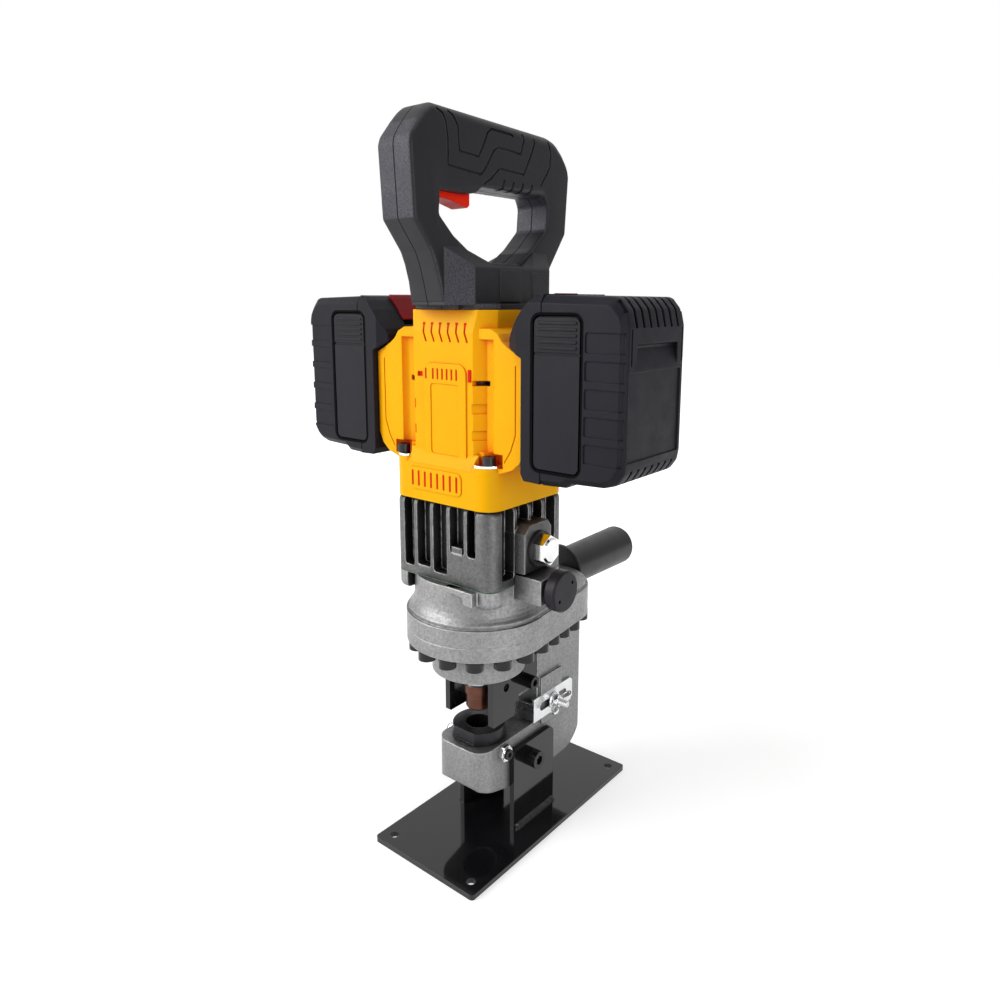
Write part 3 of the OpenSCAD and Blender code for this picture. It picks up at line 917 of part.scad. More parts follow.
// section of the case across its length, with bevelled upper edges
module case_section() along_x(50, 150) polygon([[-bat_hy, 290], [bat_hy, 290], [bat_hy, bat_z1 - bat_bevel - 1.5], [bat_hy - bat_bevel, bat_z1 + 0.5], [-bat_hy + bat_bevel, bat_z1 + 0.5], [-bat_hy, bat_z1 - bat_bevel - 1.5]]);
module case_plan(d) polygon([[80, -bat_hy + d], [bat_x1 - 3.5 - d / 2, -bat_hy + d], [bat_x1 - d, -bat_hy + 3.5 + d / 2], [bat_x1 - d, bat_hy - 3.5 - d / 2], [bat_x1 - 3.5 - d / 2, bat_hy - d], [80, bat_hy - d]]);
module shell_right() difference() {
  intersection() {
    along_y(-bat_hy, bat_hy) polygon([[bat_xj + seat, bat_z0 - 2.2], [bat_xj + 18.3, bat_z0 - 1], [bat_xj + 21, bat_z0 + 1.6], [bat_x1 - 14.8, bat_z0 + 2.5], [bat_x1 - 6.8, bat_z0 + 5], [bat_x1 - 2.3, bat_z0 + 11], [bat_x1, bat_z0 + 18],
      [bat_x1, bat_z1 - 18], [bat_x1 - 2.7, bat_z1 - 8.5], [bat_x1 - 7.8, bat_z1 - 2.2], [bat_xj + seat, bat_z1 - 0.6]]);
    translate([0, 0, 290]) linear_extrude(130) case_plan(0);
    case_section();
  }
  bat_cavity();
  clip_recess();
  // five windows around each outer corner
  for (s = [-1, 1], k = [0:4]) difference() {
    box(bat_x1 - 27.3, bat_x1 + 1, s > 0 ? bat_hy - 3.9 : -bat_hy - 1, s > 0 ? bat_hy + 1 : -bat_hy + 3.9, win_z0 + k * win_pitch, win_z0 + k * win_pitch + win_h);
    translate([0, 0, 300]) linear_extrude(110) case_plan(win_d);
  }
  // pull recess and label field on the end face
  box(bat_x1 - 3, bat_x1 + 1, -23.5, 25.5, bat_z1 - 43.5, bat_z1 - 29);
  box(bat_x1 - 0.8, bat_x1 + 1, -32.5, 26, bat_z0 + 19, bat_z1 - 45);
  box(bat_x1 - 0.8, bat_x1 + 1, -30.5, -29.3, bat_z1 - 41.5, bat_z1 - 20.5);
  // grip grooves above and below
  for (k = [0:5]) { box(bat_x1 - 1.4, bat_x1 + 1, -22.6 + 8.4 * k, -20.2 + 8.4 * k, bat_z1 - 24, bat_z1 + 4); box(bat_x1 - 1.4, bat_x1 + 1, -24 + 8.4 * k, -21.6 + 8.4 * k, bat_z0 - 9, bat_z0 + 14.5); }
}
module clip_panels_right() for (s = [0, 1]) mirror([0, s, 0]) {
  translate([clip_cx, -bat_hy + clip_d - 0.1, (clip_z0 + clip_z1) / 2]) rotate([90, 0, 0]) linear_extrude(clip_d - 0.3) rrect(2 * clip_hw - 1, clip_z1 - clip_z0 - 1, 4.5);
  for (k = [0:3]) box(clip_cx - clip_hw + 3, clip_cx + clip_hw - 3, -bat_hy - 0.4, -bat_hy + 1, clip_step_z + 4 + 4.6 * k, clip_step_z + 6.6 + 4.6 * k);
  box(clip_cx - clip_hw + 1.5, clip_cx + clip_hw - 1.5, -bat_hy - 0.4, -bat_hy + 1, clip_step_z - 1.2, clip_step_z);
}
module cells_right() for (i = [0:cell_cols - 1], k = [0:4]) ycyl(cell_r, -cell_l / 2, cell_l / 2, bat_x0 + 3.8 + cell_r + cell_step * i, bat_z0 + 14.5 + cell_pitch * k, $fn = 20);
module button_right() along_y(-12.6, 12.6) polygon([[button_x0, button_z0 - 3], [button_x0, button_z0 - 2.1], [button_x1 - 3.5, button_z1 - 2.7], [button_x1 - 1.7, button_z1 - 0.6], [button_x1, button_z1],
  [button_x1, button_z0], [button_x1 - 5.2, button_z0], [button_x1 - 5.2, button_z0 - 3]]);
module battery_base_right() color("#3a3c40") place() base_right();
module battery_shell_right() color("#3a3c40") place() shell_right();
module battery_clips_right() color("#404247") place() clip_panels_right();
module battery_button_right() color("#a9242c") place() button_right();
module battery_cells_right() color("#3f7fb0") place() cells_right();
module battery_base_left() color("#3a3c40") place() mirror([1, 0, 0]) base_right();
module battery_shell_left() color("#3a3c40") place() mirror([1, 0, 0]) shell_right();
module battery_clips_left() color("#404247") place() mirror([1, 0, 0]) clip_panels_right();
module battery_button_left() color("#a9242c") place() mirror([1, 0, 0]) button_right();
module battery_cells_left() color("#3f7fb0") place() mirror([1, 0, 0]) cells_right();

base_plate();
bracket_bolts();
c_frame();
die();
die_lock_screws();
die_lock_nuts();
punch();
punch_nut();
piston();
piston_seal();
return_spring();
stripper_fork();
fork_bolts();
stop_gauge();
stop_stud();
wing_nut();
pump_body();
flange_bolts();
release_valve();
release_knob();
oil_plug();
plug_seal();
gear_housing();
side_stud();
side_grip();
housing_front();
housing_rear();
housing_screws();
screw_washers();
vent_liner();
motor_stator();
rotor();
commutator();
fan();
motor_bearings();
pump_bearings();
layshaft();
output_shaft();
eccentric_bearing();
pump_plungers();
gear_cover();
brushes();
brush_holders();
handle_left();
handle_right();
handle_screws();
trigger();
trigger_spring();
switch_body();
battery_base_right();
battery_shell_right();
battery_clips_right();
battery_button_right();
battery_cells_right();
battery_base_left();
battery_shell_left();
battery_clips_left();
battery_button_left();
battery_cells_left();
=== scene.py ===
import bpy, bmesh, json, math
from mathutils import Vector, Matrix


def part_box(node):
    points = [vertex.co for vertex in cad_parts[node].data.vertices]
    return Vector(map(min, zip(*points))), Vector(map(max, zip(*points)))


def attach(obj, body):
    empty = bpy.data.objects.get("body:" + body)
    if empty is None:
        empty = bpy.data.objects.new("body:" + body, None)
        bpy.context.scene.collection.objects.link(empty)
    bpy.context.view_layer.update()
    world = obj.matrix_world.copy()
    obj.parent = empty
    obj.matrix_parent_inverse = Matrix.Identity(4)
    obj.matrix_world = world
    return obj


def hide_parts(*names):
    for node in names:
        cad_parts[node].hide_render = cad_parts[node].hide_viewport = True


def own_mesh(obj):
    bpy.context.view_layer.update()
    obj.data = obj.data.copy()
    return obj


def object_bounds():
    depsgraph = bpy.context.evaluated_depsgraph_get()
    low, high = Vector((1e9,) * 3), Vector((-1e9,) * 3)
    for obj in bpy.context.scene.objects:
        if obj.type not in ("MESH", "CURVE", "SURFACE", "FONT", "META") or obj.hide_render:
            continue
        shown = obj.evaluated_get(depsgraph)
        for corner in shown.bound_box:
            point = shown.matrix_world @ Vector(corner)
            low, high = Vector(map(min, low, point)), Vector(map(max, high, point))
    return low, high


# Cordless hydraulic hole puncher. The CAD nodes get their materials here, and finer meshes take the
# place of those whose blends, ribs, threads and coils the solids leave out. The frame is in metres;
# outlines are written in mm from the punch axis, and pt() puts them in the frame.

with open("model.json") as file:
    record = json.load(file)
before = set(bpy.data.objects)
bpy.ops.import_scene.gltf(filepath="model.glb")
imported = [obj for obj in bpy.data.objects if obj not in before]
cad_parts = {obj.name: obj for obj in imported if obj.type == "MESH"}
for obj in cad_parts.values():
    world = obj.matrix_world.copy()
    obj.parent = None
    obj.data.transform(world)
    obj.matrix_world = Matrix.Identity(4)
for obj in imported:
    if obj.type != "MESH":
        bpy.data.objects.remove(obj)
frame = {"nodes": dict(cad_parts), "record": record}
CAD_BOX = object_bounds()
NODES = frame["nodes"]
MM = 0.001

# -------------------- camera
LENS, SENSOR, SHIFT_Y = 28.31, 36.0, -0.0549        # fitted to the photograph's straight edges
CAMERA_AT = (0.3710, -0.4622, 0.4113)
CAMERA_FORWARD, CAMERA_RIGHT = (-0.6251, 0.7597, -0.1795), (0.7722, 0.6354, 0.0)

def make_camera():
    data = bpy.data.cameras.new("camera")
    ob = bpy.data.objects.new("camera", data)
    bpy.context.scene.collection.objects.link(ob)
    data.sensor_width, data.lens, data.shift_y = SENSOR, LENS, SHIFT_Y
    data.clip_start = 0.01
    forward = Vector(CAMERA_FORWARD).normalized()
    right = Vector(CAMERA_RIGHT).normalized()
    up = right.cross(forward).normalized()
    place = Matrix((right, up, -forward)).transposed().to_4x4()
    place.translation = Vector(CAMERA_AT)
    ob.matrix_world = place
    bpy.context.scene.camera = ob

make_camera()

# -------------------- materials
class Tree:
    """A short way to add, set and link shader nodes."""
    def __init__(self, tree):
        self.tree = tree

    def add(self, kind, **settings):
        node = self.tree.nodes.new(kind)
        for key, value in settings.items():
            setattr(node, key, value)
        return node

    def put(self, socket, value):
        """Links an output to the socket, or sets a plain value or colour on it."""
        if isinstance(value, bpy.types.NodeSocket):
            self.tree.links.new(value, socket)
        elif isinstance(value, tuple) and len(value) == 3 and socket.type == "RGBA":
            socket.default_value = (*value, 1)
        else:
            socket.default_value = value

    def maprange(self, value, a, b, c, d):
        """The value from a..b moved to c..d, and held there."""
        node = self.add("ShaderNodeMapRange")
        for key, v in zip(("Value", "From Min", "From Max", "To Min", "To Max"), (value, a, b, c, d)):
            self.put(node.inputs[key], v)
        return node.outputs[0]

    def math(self, operation, a, b=0.0):
        node = self.add("ShaderNodeMath", operation=operation)
        self.put(node.inputs[0], a)
        self.put(node.inputs[1], b)
        return node.outputs[0]

MATS = {}

class Mat(Tree):
    """A procedural material on the object's own coordinates, in metres."""
    def __init__(self, name, rough, metal=0.0, spec=0.5, edge=0.0004):
        self.name = name
        self.material = bpy.data.materials.new(name)
        self.material.use_nodes = True
        super().__init__(self.material.node_tree)
        self.shader = self.tree.nodes["Principled BSDF"]
        for key, value in (("Metallic", metal), ("Roughness", rough), ("Specular IOR Level", spec)):
            self.shader.inputs[key].default_value = value
        self.place = self.add("ShaderNodeTexCoord").outputs["Object"]
        self.face = self.add("ShaderNodeNewGeometry").outputs["Normal"]
        bevel = self.add("ShaderNodeBevel", samples=4)
        bevel.inputs["Radius"].default_value = edge
        self.normal = bevel.outputs[0]
        turn = self.add("ShaderNodeVectorMath", operation="DOT_PRODUCT")
        self.put(turn.inputs[0], self.normal)
        self.put(turn.inputs[1], self.face)
        self.edge = self.maprange(turn.outputs["Value"], 0.995, 0.80, 0.0, 1.0)      # 1 on a sharp edge

    def noise(self, scale, detail=3.0, rough=0.5, stretch=None):
        node = self.add("ShaderNodeTexNoise")
        for key, value in (("Scale", scale), ("Detail", detail), ("Roughness", rough)):
            node.inputs[key].default_value = value
        place = self.place
        if stretch:
            mapping = self.add("ShaderNodeMapping")
            mapping.inputs["Scale"].default_value = stretch
            self.put(mapping.inputs["Vector"], place)
            place = mapping.outputs[0]
        self.put(node.inputs["Vector"], place)
        return node.outputs["Fac"]

    def cells(self, scale):
        node = self.add("ShaderNodeTexVoronoi")
        node.inputs["Scale"].default_value = scale
        self.put(node.inputs["Vector"], self.place)
        return node.outputs["Distance"]

    def mix(self, factor, a, b):
        node = self.add("ShaderNodeMix", data_type="RGBA")
        for i, value in ((0, factor), (6, a), (7, b)):          # the sockets of a colour mix
            self.put(node.inputs[i], value)
        return node.outputs[2]

    def split(self, vector):
        node = self.add("ShaderNodeSeparateXYZ")
        self.put(node.inputs[0], vector)
        return node.outputs

    def hollow(self, reach, lo, hi, strength):
        """A mask for painted shade from ambient occlusion: the strength in a hollow narrower than the reach,
        and 0 in the open.
        """
        node = self.add("ShaderNodeAmbientOcclusion", samples=6)
        node.inputs["Distance"].default_value = reach
        return self.maprange(node.outputs["AO"], lo, hi, strength, 0)

    def bump(self, height, strength, distance):
        node = self.add("ShaderNodeBump")
        node.inputs["Strength"].default_value = strength
        node.inputs["Distance"].default_value = distance
        self.put(node.inputs["Height"], height)
        self.put(node.inputs["Normal"], self.normal)
        self.normal = node.outputs[0]

    def done(self, colour, rough):
        self.put(self.shader.inputs["Base Color"], colour)
        self.put(self.shader.inputs["Roughness"], rough)
        self.put(self.shader.inputs["Normal"], self.normal)
        MATS[self.name] = self.material

def lin(r, g, b):
    """A screen colour, 0 to 255, as the linear colour that the shaders take."""
    def one(c):
        return c / 12.92 if c <= 0.04045 else ((c + 0.055) / 1.055) ** 2.4
    return (one(r / 255), one(g / 255), one(b / 255))

def shade(colour, by, plus=0.0):
    return tuple(min(1.0, v * by + plus) for v in colour)

# black of dark joint lines, and of painted shade in gaps and in the clips' crevices
LINE_BLACK = (0.0004, 0.0004, 0.0005)
COARSE = 1100                            # scale of the coarse moulded grain

def plastic(name, colour, rough, grain=0.12, scale=1600, var=0.10, edge=0.0005, wear_and_highlight=0.25, spec=0.4,
            sss=0.0, zones=None, crevice_shade=None, lines=None):
    """Moulded plastic: spark-eroded grain, faint flow marks, lighter edges that are partly rubbed wear and
    partly painted highlight.

    zones(m) is 1 where the grain is coarse and light, lines(m) is 1 on dark joint lines and on painted shade
    in gaps, and crevice_shade is (distance, colour, strength) of the painted shade in crevices.
    """
    m = Mat(name, rough, edge=edge, spec=spec)
    flow = m.maprange(m.noise(30, 3, 0.55, (1, 1, 0.5)), 0.3, 0.7, 0, 1)
    tone = m.mix(flow, shade(colour, 1 - var), shade(colour, 1 + var))
    relief = m.noise(scale, 2, 0.6)
    if zones:
        zone = zones(m)
        fleck = m.maprange(m.noise(COARSE, 2, 0.7), 0.35, 0.65, 0, 1)
        tone = m.mix(zone, tone, m.mix(fleck, shade(colour, 1.2), shade(colour, 6.5)))
        relief = m.math("ADD", relief, m.math("MULTIPLY", m.noise(COARSE, 2, 0.7), zone))
        relief = m.math("MULTIPLY", relief, m.maprange(zone, 0, 1, 0.35, 1.0))
    # lighter edges: partly rubbed wear, partly painted highlight
    if wear_and_highlight:
        edge_wear_and_highlight = m.math("MULTIPLY", m.edge, m.maprange(m.noise(150, 4, 0.6), 0.42, 0.68, 0.05, wear_and_highlight))
        tone = m.mix(edge_wear_and_highlight, tone, shade(colour, 1.9, 0.03))
    # painted shade: the tone turns to the shadow colour in crevices, found by ambient occlusion
    if crevice_shade:
        reach, shadow, strength = crevice_shade
        tone = m.mix(m.hollow(reach, 0.25, 0.85, strength), tone, shadow)
    gloss = m.maprange(m.noise(70, 4, 0.6), 0.3, 0.7, rough - 0.06, rough + 0.07)
    if lines:                            # joint lines and painted gap shade are dark, dull and sunk
        line = lines(m)
        tone = m.mix(line, tone, LINE_BLACK)
        gloss = m.math("MAXIMUM", gloss, m.math("MULTIPLY", line, 0.95))
        m.bump(m.math("SUBTRACT", 1.0, line), 1.0, 0.0006)
    m.bump(relief, grain, 0.00025)
    if sss:
        m.shader.inputs["Subsurface Weight"].default_value = sss
        m.shader.inputs["Subsurface Radius"].default_value = (1.0, 0.32, 0.04)
        m.shader.inputs["Subsurface Scale"].default_value = 0.006
    m.done(tone, gloss)

def metal(name, colour, rough, metallic=1.0, grain=0.1, scale=900, var=0.1, edge=0.0004, wear_and_highlight=0.3,
          bright=1.6, stretch=None, dirt_and_dark_reflection=0.0, thread=None, rings=None):
    """Machined or painted metal: mottled tone, and bright edges that are partly rubbed wear and partly
    painted highlight.

    stretch draws the grain out as brushing, thread is (axis, pitch), and rings stretches turning marks.
    """
    m = Mat(name, rough, metal=metallic, edge=edge)
    tone = m.mix(m.maprange(m.noise(60, 4), 0.3, 0.7, 0, 1), shade(colour, 1 - var), shade(colour, 1 + var))
    # dark patches: partly dirt, partly painted dark reflection
    if dirt_and_dark_reflection:
        stain_and_dark_reflection = m.maprange(m.noise(140, 5, 0.65), 0.52, 0.72, 0, dirt_and_dark_reflection)
        tone = m.mix(stain_and_dark_reflection, tone, shade(colour, 0.35))
    # lighter edges: partly rubbed wear, partly painted highlight
    if wear_and_highlight:
        edge_wear_and_highlight = m.math("MULTIPLY", m.edge, m.maprange(m.noise(250, 3), 0.38, 0.62, 0.1, wear_and_highlight))
        tone = m.mix(edge_wear_and_highlight, tone, shade(colour, bright, 0.06))
    if thread:
        axis, pitch = thread
        turn = m.math("FRACT", m.math("MULTIPLY", m.split(m.place)[axis], 1.0 / pitch))
        m.bump(m.math("PINGPONG", turn, 0.5), 0.9, pitch * 0.6)
    if rings:
        m.bump(m.noise(900, 2, 0.6, rings), 0.06, 0.0001)
    m.bump(m.noise(scale, 3, 0.65, stretch), grain, 0.0003)
    m.done(tone, m.maprange(m.noise(120, 4, 0.6, stretch), 0.3, 0.7, rough * 0.8, rough * 1.25))

def casting(name, colour, rough, metallic, grain, edge, bright, wear_and_highlight, depth, reach):
    """Sand-cast and painted aluminium: coarse grain, pits, pale edges that are partly rubbed wear and partly
    painted highlight, and painted shade in its grooves.
    """
    m = Mat(name, rough, metal=metallic, edge=edge)
    big, mid, fine = m.noise(45, 4, 0.6), m.noise(420, 3, 0.7), m.noise(1500, 2, 0.7)
    pits = m.maprange(m.cells(520), 0.0, 0.16, 1.0, 0.0)
    tone = m.mix(m.maprange(big, 0.3, 0.7, 0, 1), shade(colour, 0.86), shade(colour, 1.08))
    tone = m.mix(m.maprange(mid, 0.42, 0.62, 0, 0.50), tone, shade(colour, 0.50))
    tone = m.mix(m.maprange(fine, 0.5, 0.70, 0, 0.55), tone, shade(colour, 1.7))
    tone = m.mix(m.math("MULTIPLY", pits, 0.45), tone, shade(colour, 0.35))
    # painted shade: darker in grooves narrower than reach, found by ambient occlusion, as strong as depth
    tone = m.mix(m.hollow(reach, 0.30, 0.92, depth), tone, shade(colour, 0.07))
    # lighter edges: partly rubbed wear, partly painted highlight
    edge_wear_and_highlight = m.math("MULTIPLY", m.edge, m.maprange(m.noise(200, 3), 0.35, 0.6, 0.25, wear_and_highlight))
    tone = m.mix(edge_wear_and_highlight, tone, shade(colour, bright, 0.1))
    height = m.math("ADD", m.math("MULTIPLY", mid, 0.7), m.math("MULTIPLY", fine, 0.5))
    m.bump(m.math("SUBTRACT", height, m.math("MULTIPLY", pits, 0.35)), grain, 0.0005)
    m.done(tone, m.maprange(mid, 0.35, 0.65, rough - 0.08, rough + 0.10))

BARS_FROM, BARS_TO, FOOT_TO = (0.4618, 0.4624), (0.520, 0.5215), (0.4455, 0.446)     # heights, each a fade
SEAM_HALF = (0.00030, 0.00055)

def handle_zones(m):
    """Coarse grain on the end faces of the handle's bars, and on the slanted faces of its foot."""
    z = m.split(m.place)[2]
    nx, ny, _ = m.split(m.face)
    sideways = m.math("ABSOLUTE", nx)
    ends = m.maprange(sideways, 0.35, 0.55, 1, 0)
    bars = m.math("MULTIPLY", m.maprange(z, *BARS_FROM, 0, 1), m.maprange(z, *BARS_TO, 1, 0))
    slant = m.math("MULTIPLY", m.maprange(sideways, 0.5, 0.6, 0, 1), m.maprange(ny, -0.6, -0.5, 1, 0))
    foot = m.math("MULTIPLY", m.maprange(z, *FOOT_TO, 1, 0), slant)
    return m.math("MAXIMUM", m.math("MULTIPLY", ends, bars), foot)

def handle_seam(m):
    """Joint of the two handle halves, on the middle plane."""
    x = m.split(m.place)[0]
    nx = m.split(m.face)[0]
    near = m.maprange(m.math("ABSOLUTE", x), *SEAM_HALF, 1, 0)
    return m.math("MULTIPLY", near, m.maprange(m.math("ABSOLUTE", nx), 0.5, 0.7, 1, 0))

CLIPS_LO, CLIPS_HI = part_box("battery_clips_right")
CLIP_X, CLIP_HALF_X = (CLIPS_LO[0] + CLIPS_HI[0]) / 2, (CLIPS_HI[0] - CLIPS_LO[0]) / 2
CLIP_Z, CLIP_HALF_Z = (CLIPS_LO[2] + CLIPS_HI[2]) / 2, (CLIPS_HI[2] - CLIPS_LO[2]) / 2
CLIP_CORNER = 0.005
CLIP_GAP, JOINT_HALF = (0.0017, 0.0021), (0.00025, 0.0005)
CASE_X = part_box("battery_shell_right")[0][0]         # joint of the battery's case and base

def clip_gap(m):
    """Painted shade in the gap round the release clips on a battery's long faces, and the dark joint of case
    and base.
    """
    x, _, z = m.split(m.place)
    nx, ny, _ = m.split(m.face)
    def beyond(value, middle, half):                 # how far past the straight part of a side
        off = m.math("ABSOLUTE", m.math("SUBTRACT", value, middle))
        return m.math("MAXIMUM", m.math("SUBTRACT", off, half - CLIP_CORNER), 0.0)
    across = m.math("ABSOLUTE", x)
    qx, qz = beyond(across, CLIP_X, CLIP_HALF_X), beyond(z, CLIP_Z, CLIP_HALF_Z)
    far = m.math("SQRT", m.math("ADD", m.math("MULTIPLY", qx, qx), m.math("MULTIPLY", qz, qz)))
    out = m.math("SUBTRACT", far, CLIP_CORNER)       # distance outside the clip's round-cornered outline
    long_face = m.maprange(m.math("ABSOLUTE", ny), 0.8, 0.9, 0, 1)
    # painted shade: a black ring in the gap round each clip
    ring = m.math("MULTIPLY", m.maprange(out, *CLIP_GAP, 1, 0), long_face)
    ring = m.math("MULTIPLY", ring, m.maprange(out, -0.0004, 0.0000, 0, 1))
    joint = m.maprange(m.math("ABSOLUTE", m.math("SUBTRACT", across, CASE_X)), *JOINT_HALF, 1, 0)
    joint = m.math("MULTIPLY", joint, m.maprange(m.math("ABSOLUTE", nx), 0.8, 0.9, 1, 0))
    return m.math("MAXIMUM", ring, joint)

# painted and blackened steel
metal("black_paint", (0.006, 0.006, 0.007), 0.07, 0.0, grain=0.012, scale=260, var=0.2, wear_and_highlight=0.12, bright=6)
metal("weld", (0.010, 0.010, 0.011), 0.12, 0.0, grain=0.10, var=0.2, wear_and_highlight=0.25, bright=6)
metal("black_steel", (0.010, 0.010, 0.012), 0.24, 0.35, grain=0.06, wear_and_highlight=0.45, bright=6)
metal("die_steel", (0.016, 0.016, 0.019), 0.32, 0.5, grain=0.06, wear_and_highlight=0.5, bright=5, rings=(1, 1, 14))
metal("punch_steel", (0.11, 0.042, 0.026), 0.30, 0.75, grain=0.06, var=0.25, wear_and_highlight=0.5, rings=(1, 1, 14))
metal("thread_black", (0.02, 0.02, 0.022), 0.3, 0.6, thread=(0, 0.00125))
# bare metal
metal("steel", (0.45, 0.46, 0.47), 0.30, rings=(1, 1, 12))
metal("spring_steel", (0.3, 0.31, 0.32), 0.3)
metal("stainless", (0.82, 0.83, 0.84), 0.24, grain=0.05, scale=700, stretch=(1, 0.15, 2.2), dirt_and_dark_reflection=0.12)
metal("chrome", (0.80, 0.80, 0.81), 0.08, grain=0.02, wear_and_highlight=0.0, dirt_and_dark_reflection=0.05)
metal("bearing_steel", (0.6, 0.61, 0.62), 0.15)
metal("bright_steel", (0.66, 0.67, 0.68), 0.22, grain=0.03)
metal("thread_x", (0.62, 0.63, 0.64), 0.26, thread=(0, 0.0010))
metal("copper", (0.6, 0.25, 0.1), 0.3, thread=(2, 0.0006))
metal("brass", (0.7, 0.5, 0.18), 0.3)
casting("silver_casting", lin(146, 146, 146), 0.38, 0.8, 0.75, 0.0014, 1.9, 0.9, 0.8, 0.026)
casting("fin_casting", lin(97, 97, 97), 0.36, 0.75, 0.6, 0.0013, 3.4, 1.0, 1.0, 0.014)
# plastic and rubber
plastic("seal", (0.012, 0.012, 0.013), 0.55, scale=2500)
plastic("gasket", (0.20, 0.30, 0.22), 0.7, grain=0.2)
plastic("carbon", (0.03, 0.03, 0.03), 0.6)
plastic("cell_wrap", (0.05, 0.2, 0.42), 0.3)
plastic("inner_plastic", (0.02, 0.02, 0.022), 0.5)
plastic("grip_rubber", (0.009, 0.009, 0.011), 0.38, grain=0.10, scale=1500, edge=0.0012, wear_and_highlight=0.15)
plastic("dark_knob", (0.012, 0.010, 0.015), 0.40, grain=0.10, edge=0.0006, wear_and_highlight=0.15, spec=0.2)
# crevice_shade below is painted shade: orange in the yellow shell's crevices, near black in the dark
# plastics, dark red in the button's
plastic("yellow_shell", lin(254, 180, 0), 0.42, grain=0.03, scale=1400, var=0.025, edge=0.0010, wear_and_highlight=0.0,
        spec=0.10, sss=0.25, crevice_shade=(0.016, lin(232, 84, 0), 1.0))
plastic("black_shell", (0.0085, 0.0084, 0.0112), 0.48, spec=0.32, grain=0.24, scale=1500, edge=0.0010,
        zones=handle_zones, crevice_shade=(0.0022, (0.001, 0.001, 0.0012), 0.9), lines=handle_seam)
plastic("battery_case", (0.0100, 0.0100, 0.0150), 0.46, grain=0.26, scale=1500, edge=0.0009, wear_and_highlight=0.45,
        spec=0.12, crevice_shade=(0.0022, (0.001, 0.001, 0.0012), 0.8), lines=clip_gap)
plastic("battery_clip", (0.0100, 0.0100, 0.0145), 0.44, grain=0.16, scale=1500, edge=0.0006, wear_and_highlight=0.3,
        spec=0.15, crevice_shade=(0.0030, LINE_BLACK, 1.0))
plastic("button_red", (0.27, 0.008, 0.014), 0.38, grain=0.06, edge=0.0006, spec=0.12,
        crevice_shade=(0.002, (0.02, 0.001, 0.002), 0.8))
plastic("trigger_red", (0.95, 0.022, 0.006), 0.40, grain=0.03, edge=0.0008, wear_and_highlight=0.0, spec=0.08, sss=0.15)
plastic("red_liner", (0.75, 0.010, 0.004), 0.5, grain=0.05, spec=0.1)

SLOT = {s["node"]: s["material_slot"] for s in frame["record"]["subparts"]}
OWN = {"battery_base_left": "battery_case", "battery_base_right": "battery_case", "stop_stud": "thread_x",
       "die_lock_screws": "thread_black", "battery_clips_left": "battery_clip",
       "battery_clips_right": "battery_clip"}        # nodes that look finer than their slot's plain finish
for name, ob in NODES.items():
    ob.data.materials.clear()
    ob.data.materials.append(MATS[OWN.get(name, SLOT[name])])

# -------------------- mesh helpers
def corners(node):
    lo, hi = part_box(node)
    return Vector(lo), Vector(hi)

def piece(name, verts, faces, body, mat, slot, sharp=35, bevel=0.0, replace=()):
    """A mesh piece in the CAD's frame that rides on a body; edges over sharp degrees stay sharp."""
    me = bpy.data.meshes.new(name)
    me.from_pydata([tuple(v) for v in verts], [], faces)
    bm = bmesh.new()
    bm.from_mesh(me)
    bmesh.ops.remove_doubles(bm, verts=bm.verts, dist=1e-6)
    bmesh.ops.recalc_face_normals(bm, faces=bm.faces)
    def is_sharp(e):
        return len(e.link_faces) == 2 and e.calc_face_angle(0) > math.radians(sharp)
    if bevel:
        bmesh.ops.bevel(bm, geom=[e for e in bm.edges if is_sharp(e)], offset=bevel, segments=2,
                        profile=0.6, affect="EDGES", clamp_overlap=True)
    for f in bm.faces:
        f.smooth = True
    for e in bm.edges:
        e.smooth = not is_sharp(e)
    bm.to_mesh(me)
    bm.free()
    ob = bpy.data.objects.new(name, me)
    bpy.context.scene.collection.objects.link(ob)
    me.materials.append(MATS[mat])
    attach(ob, body)
    if replace:
        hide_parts(*replace)
    return ob

def join(*parts):
    verts, faces = [], []
    for v, f in parts:
        n = len(verts)
        verts += [Vector(q) for q in v]
        faces += [tuple(i + n for i in q) for q in f]
    return verts, faces

def grid(rows):
    """A closed solid through rings of points; every ring has the same number of points."""
    n, last = len(rows[0]), len(rows) - 1
    faces = []
    for i in range(last):
        for j in range(n):
            k = (j + 1) % n
            faces.append((i * n + j, i * n + k, (i + 1) * n + k, (i + 1) * n + j))
    faces.append(tuple(range(n - 1, -1, -1)))
    faces.append(tuple(last * n + j for j in range(n)))
    return [Vector(v) for row in rows for v in row], faces

def axes_of(axis):
    a = Vector(axis).normalized()
    u = a.orthogonal().normalized()
    return a, u, a.cross(u)

def spoke(u, v, j, n):
    """Direction j of n round the plane of u and v."""
    th = 2 * math.pi * j / n
    return u * math.cos(th) + v * math.sin(th)

def threaded(start, axis, length, r, pitch, depth, n=28):
    """A rod with a helical thread and chamfered ends; start is the middle of its first end."""
    a, u, v = axes_of(axis)
    start, rows = Vector(start), []
    steps = max(2, round(length / (pitch / 6)))
    for i in range(steps + 1):
        t = length * i / steps
        limit = r - max(0.0, depth - t) - max(0.0, depth - (length - t))
        ring = []
        for j in range(n):
            phase = (t / pitch - j / n) % 1.0
            cut = min(1.0, abs(2 * phase - 1) * 1.25)
            ring.append(start + a * t + spoke(u, v, j, n) * min(limit, r - depth * cut))
        rows.append(ring)
    return grid(rows)

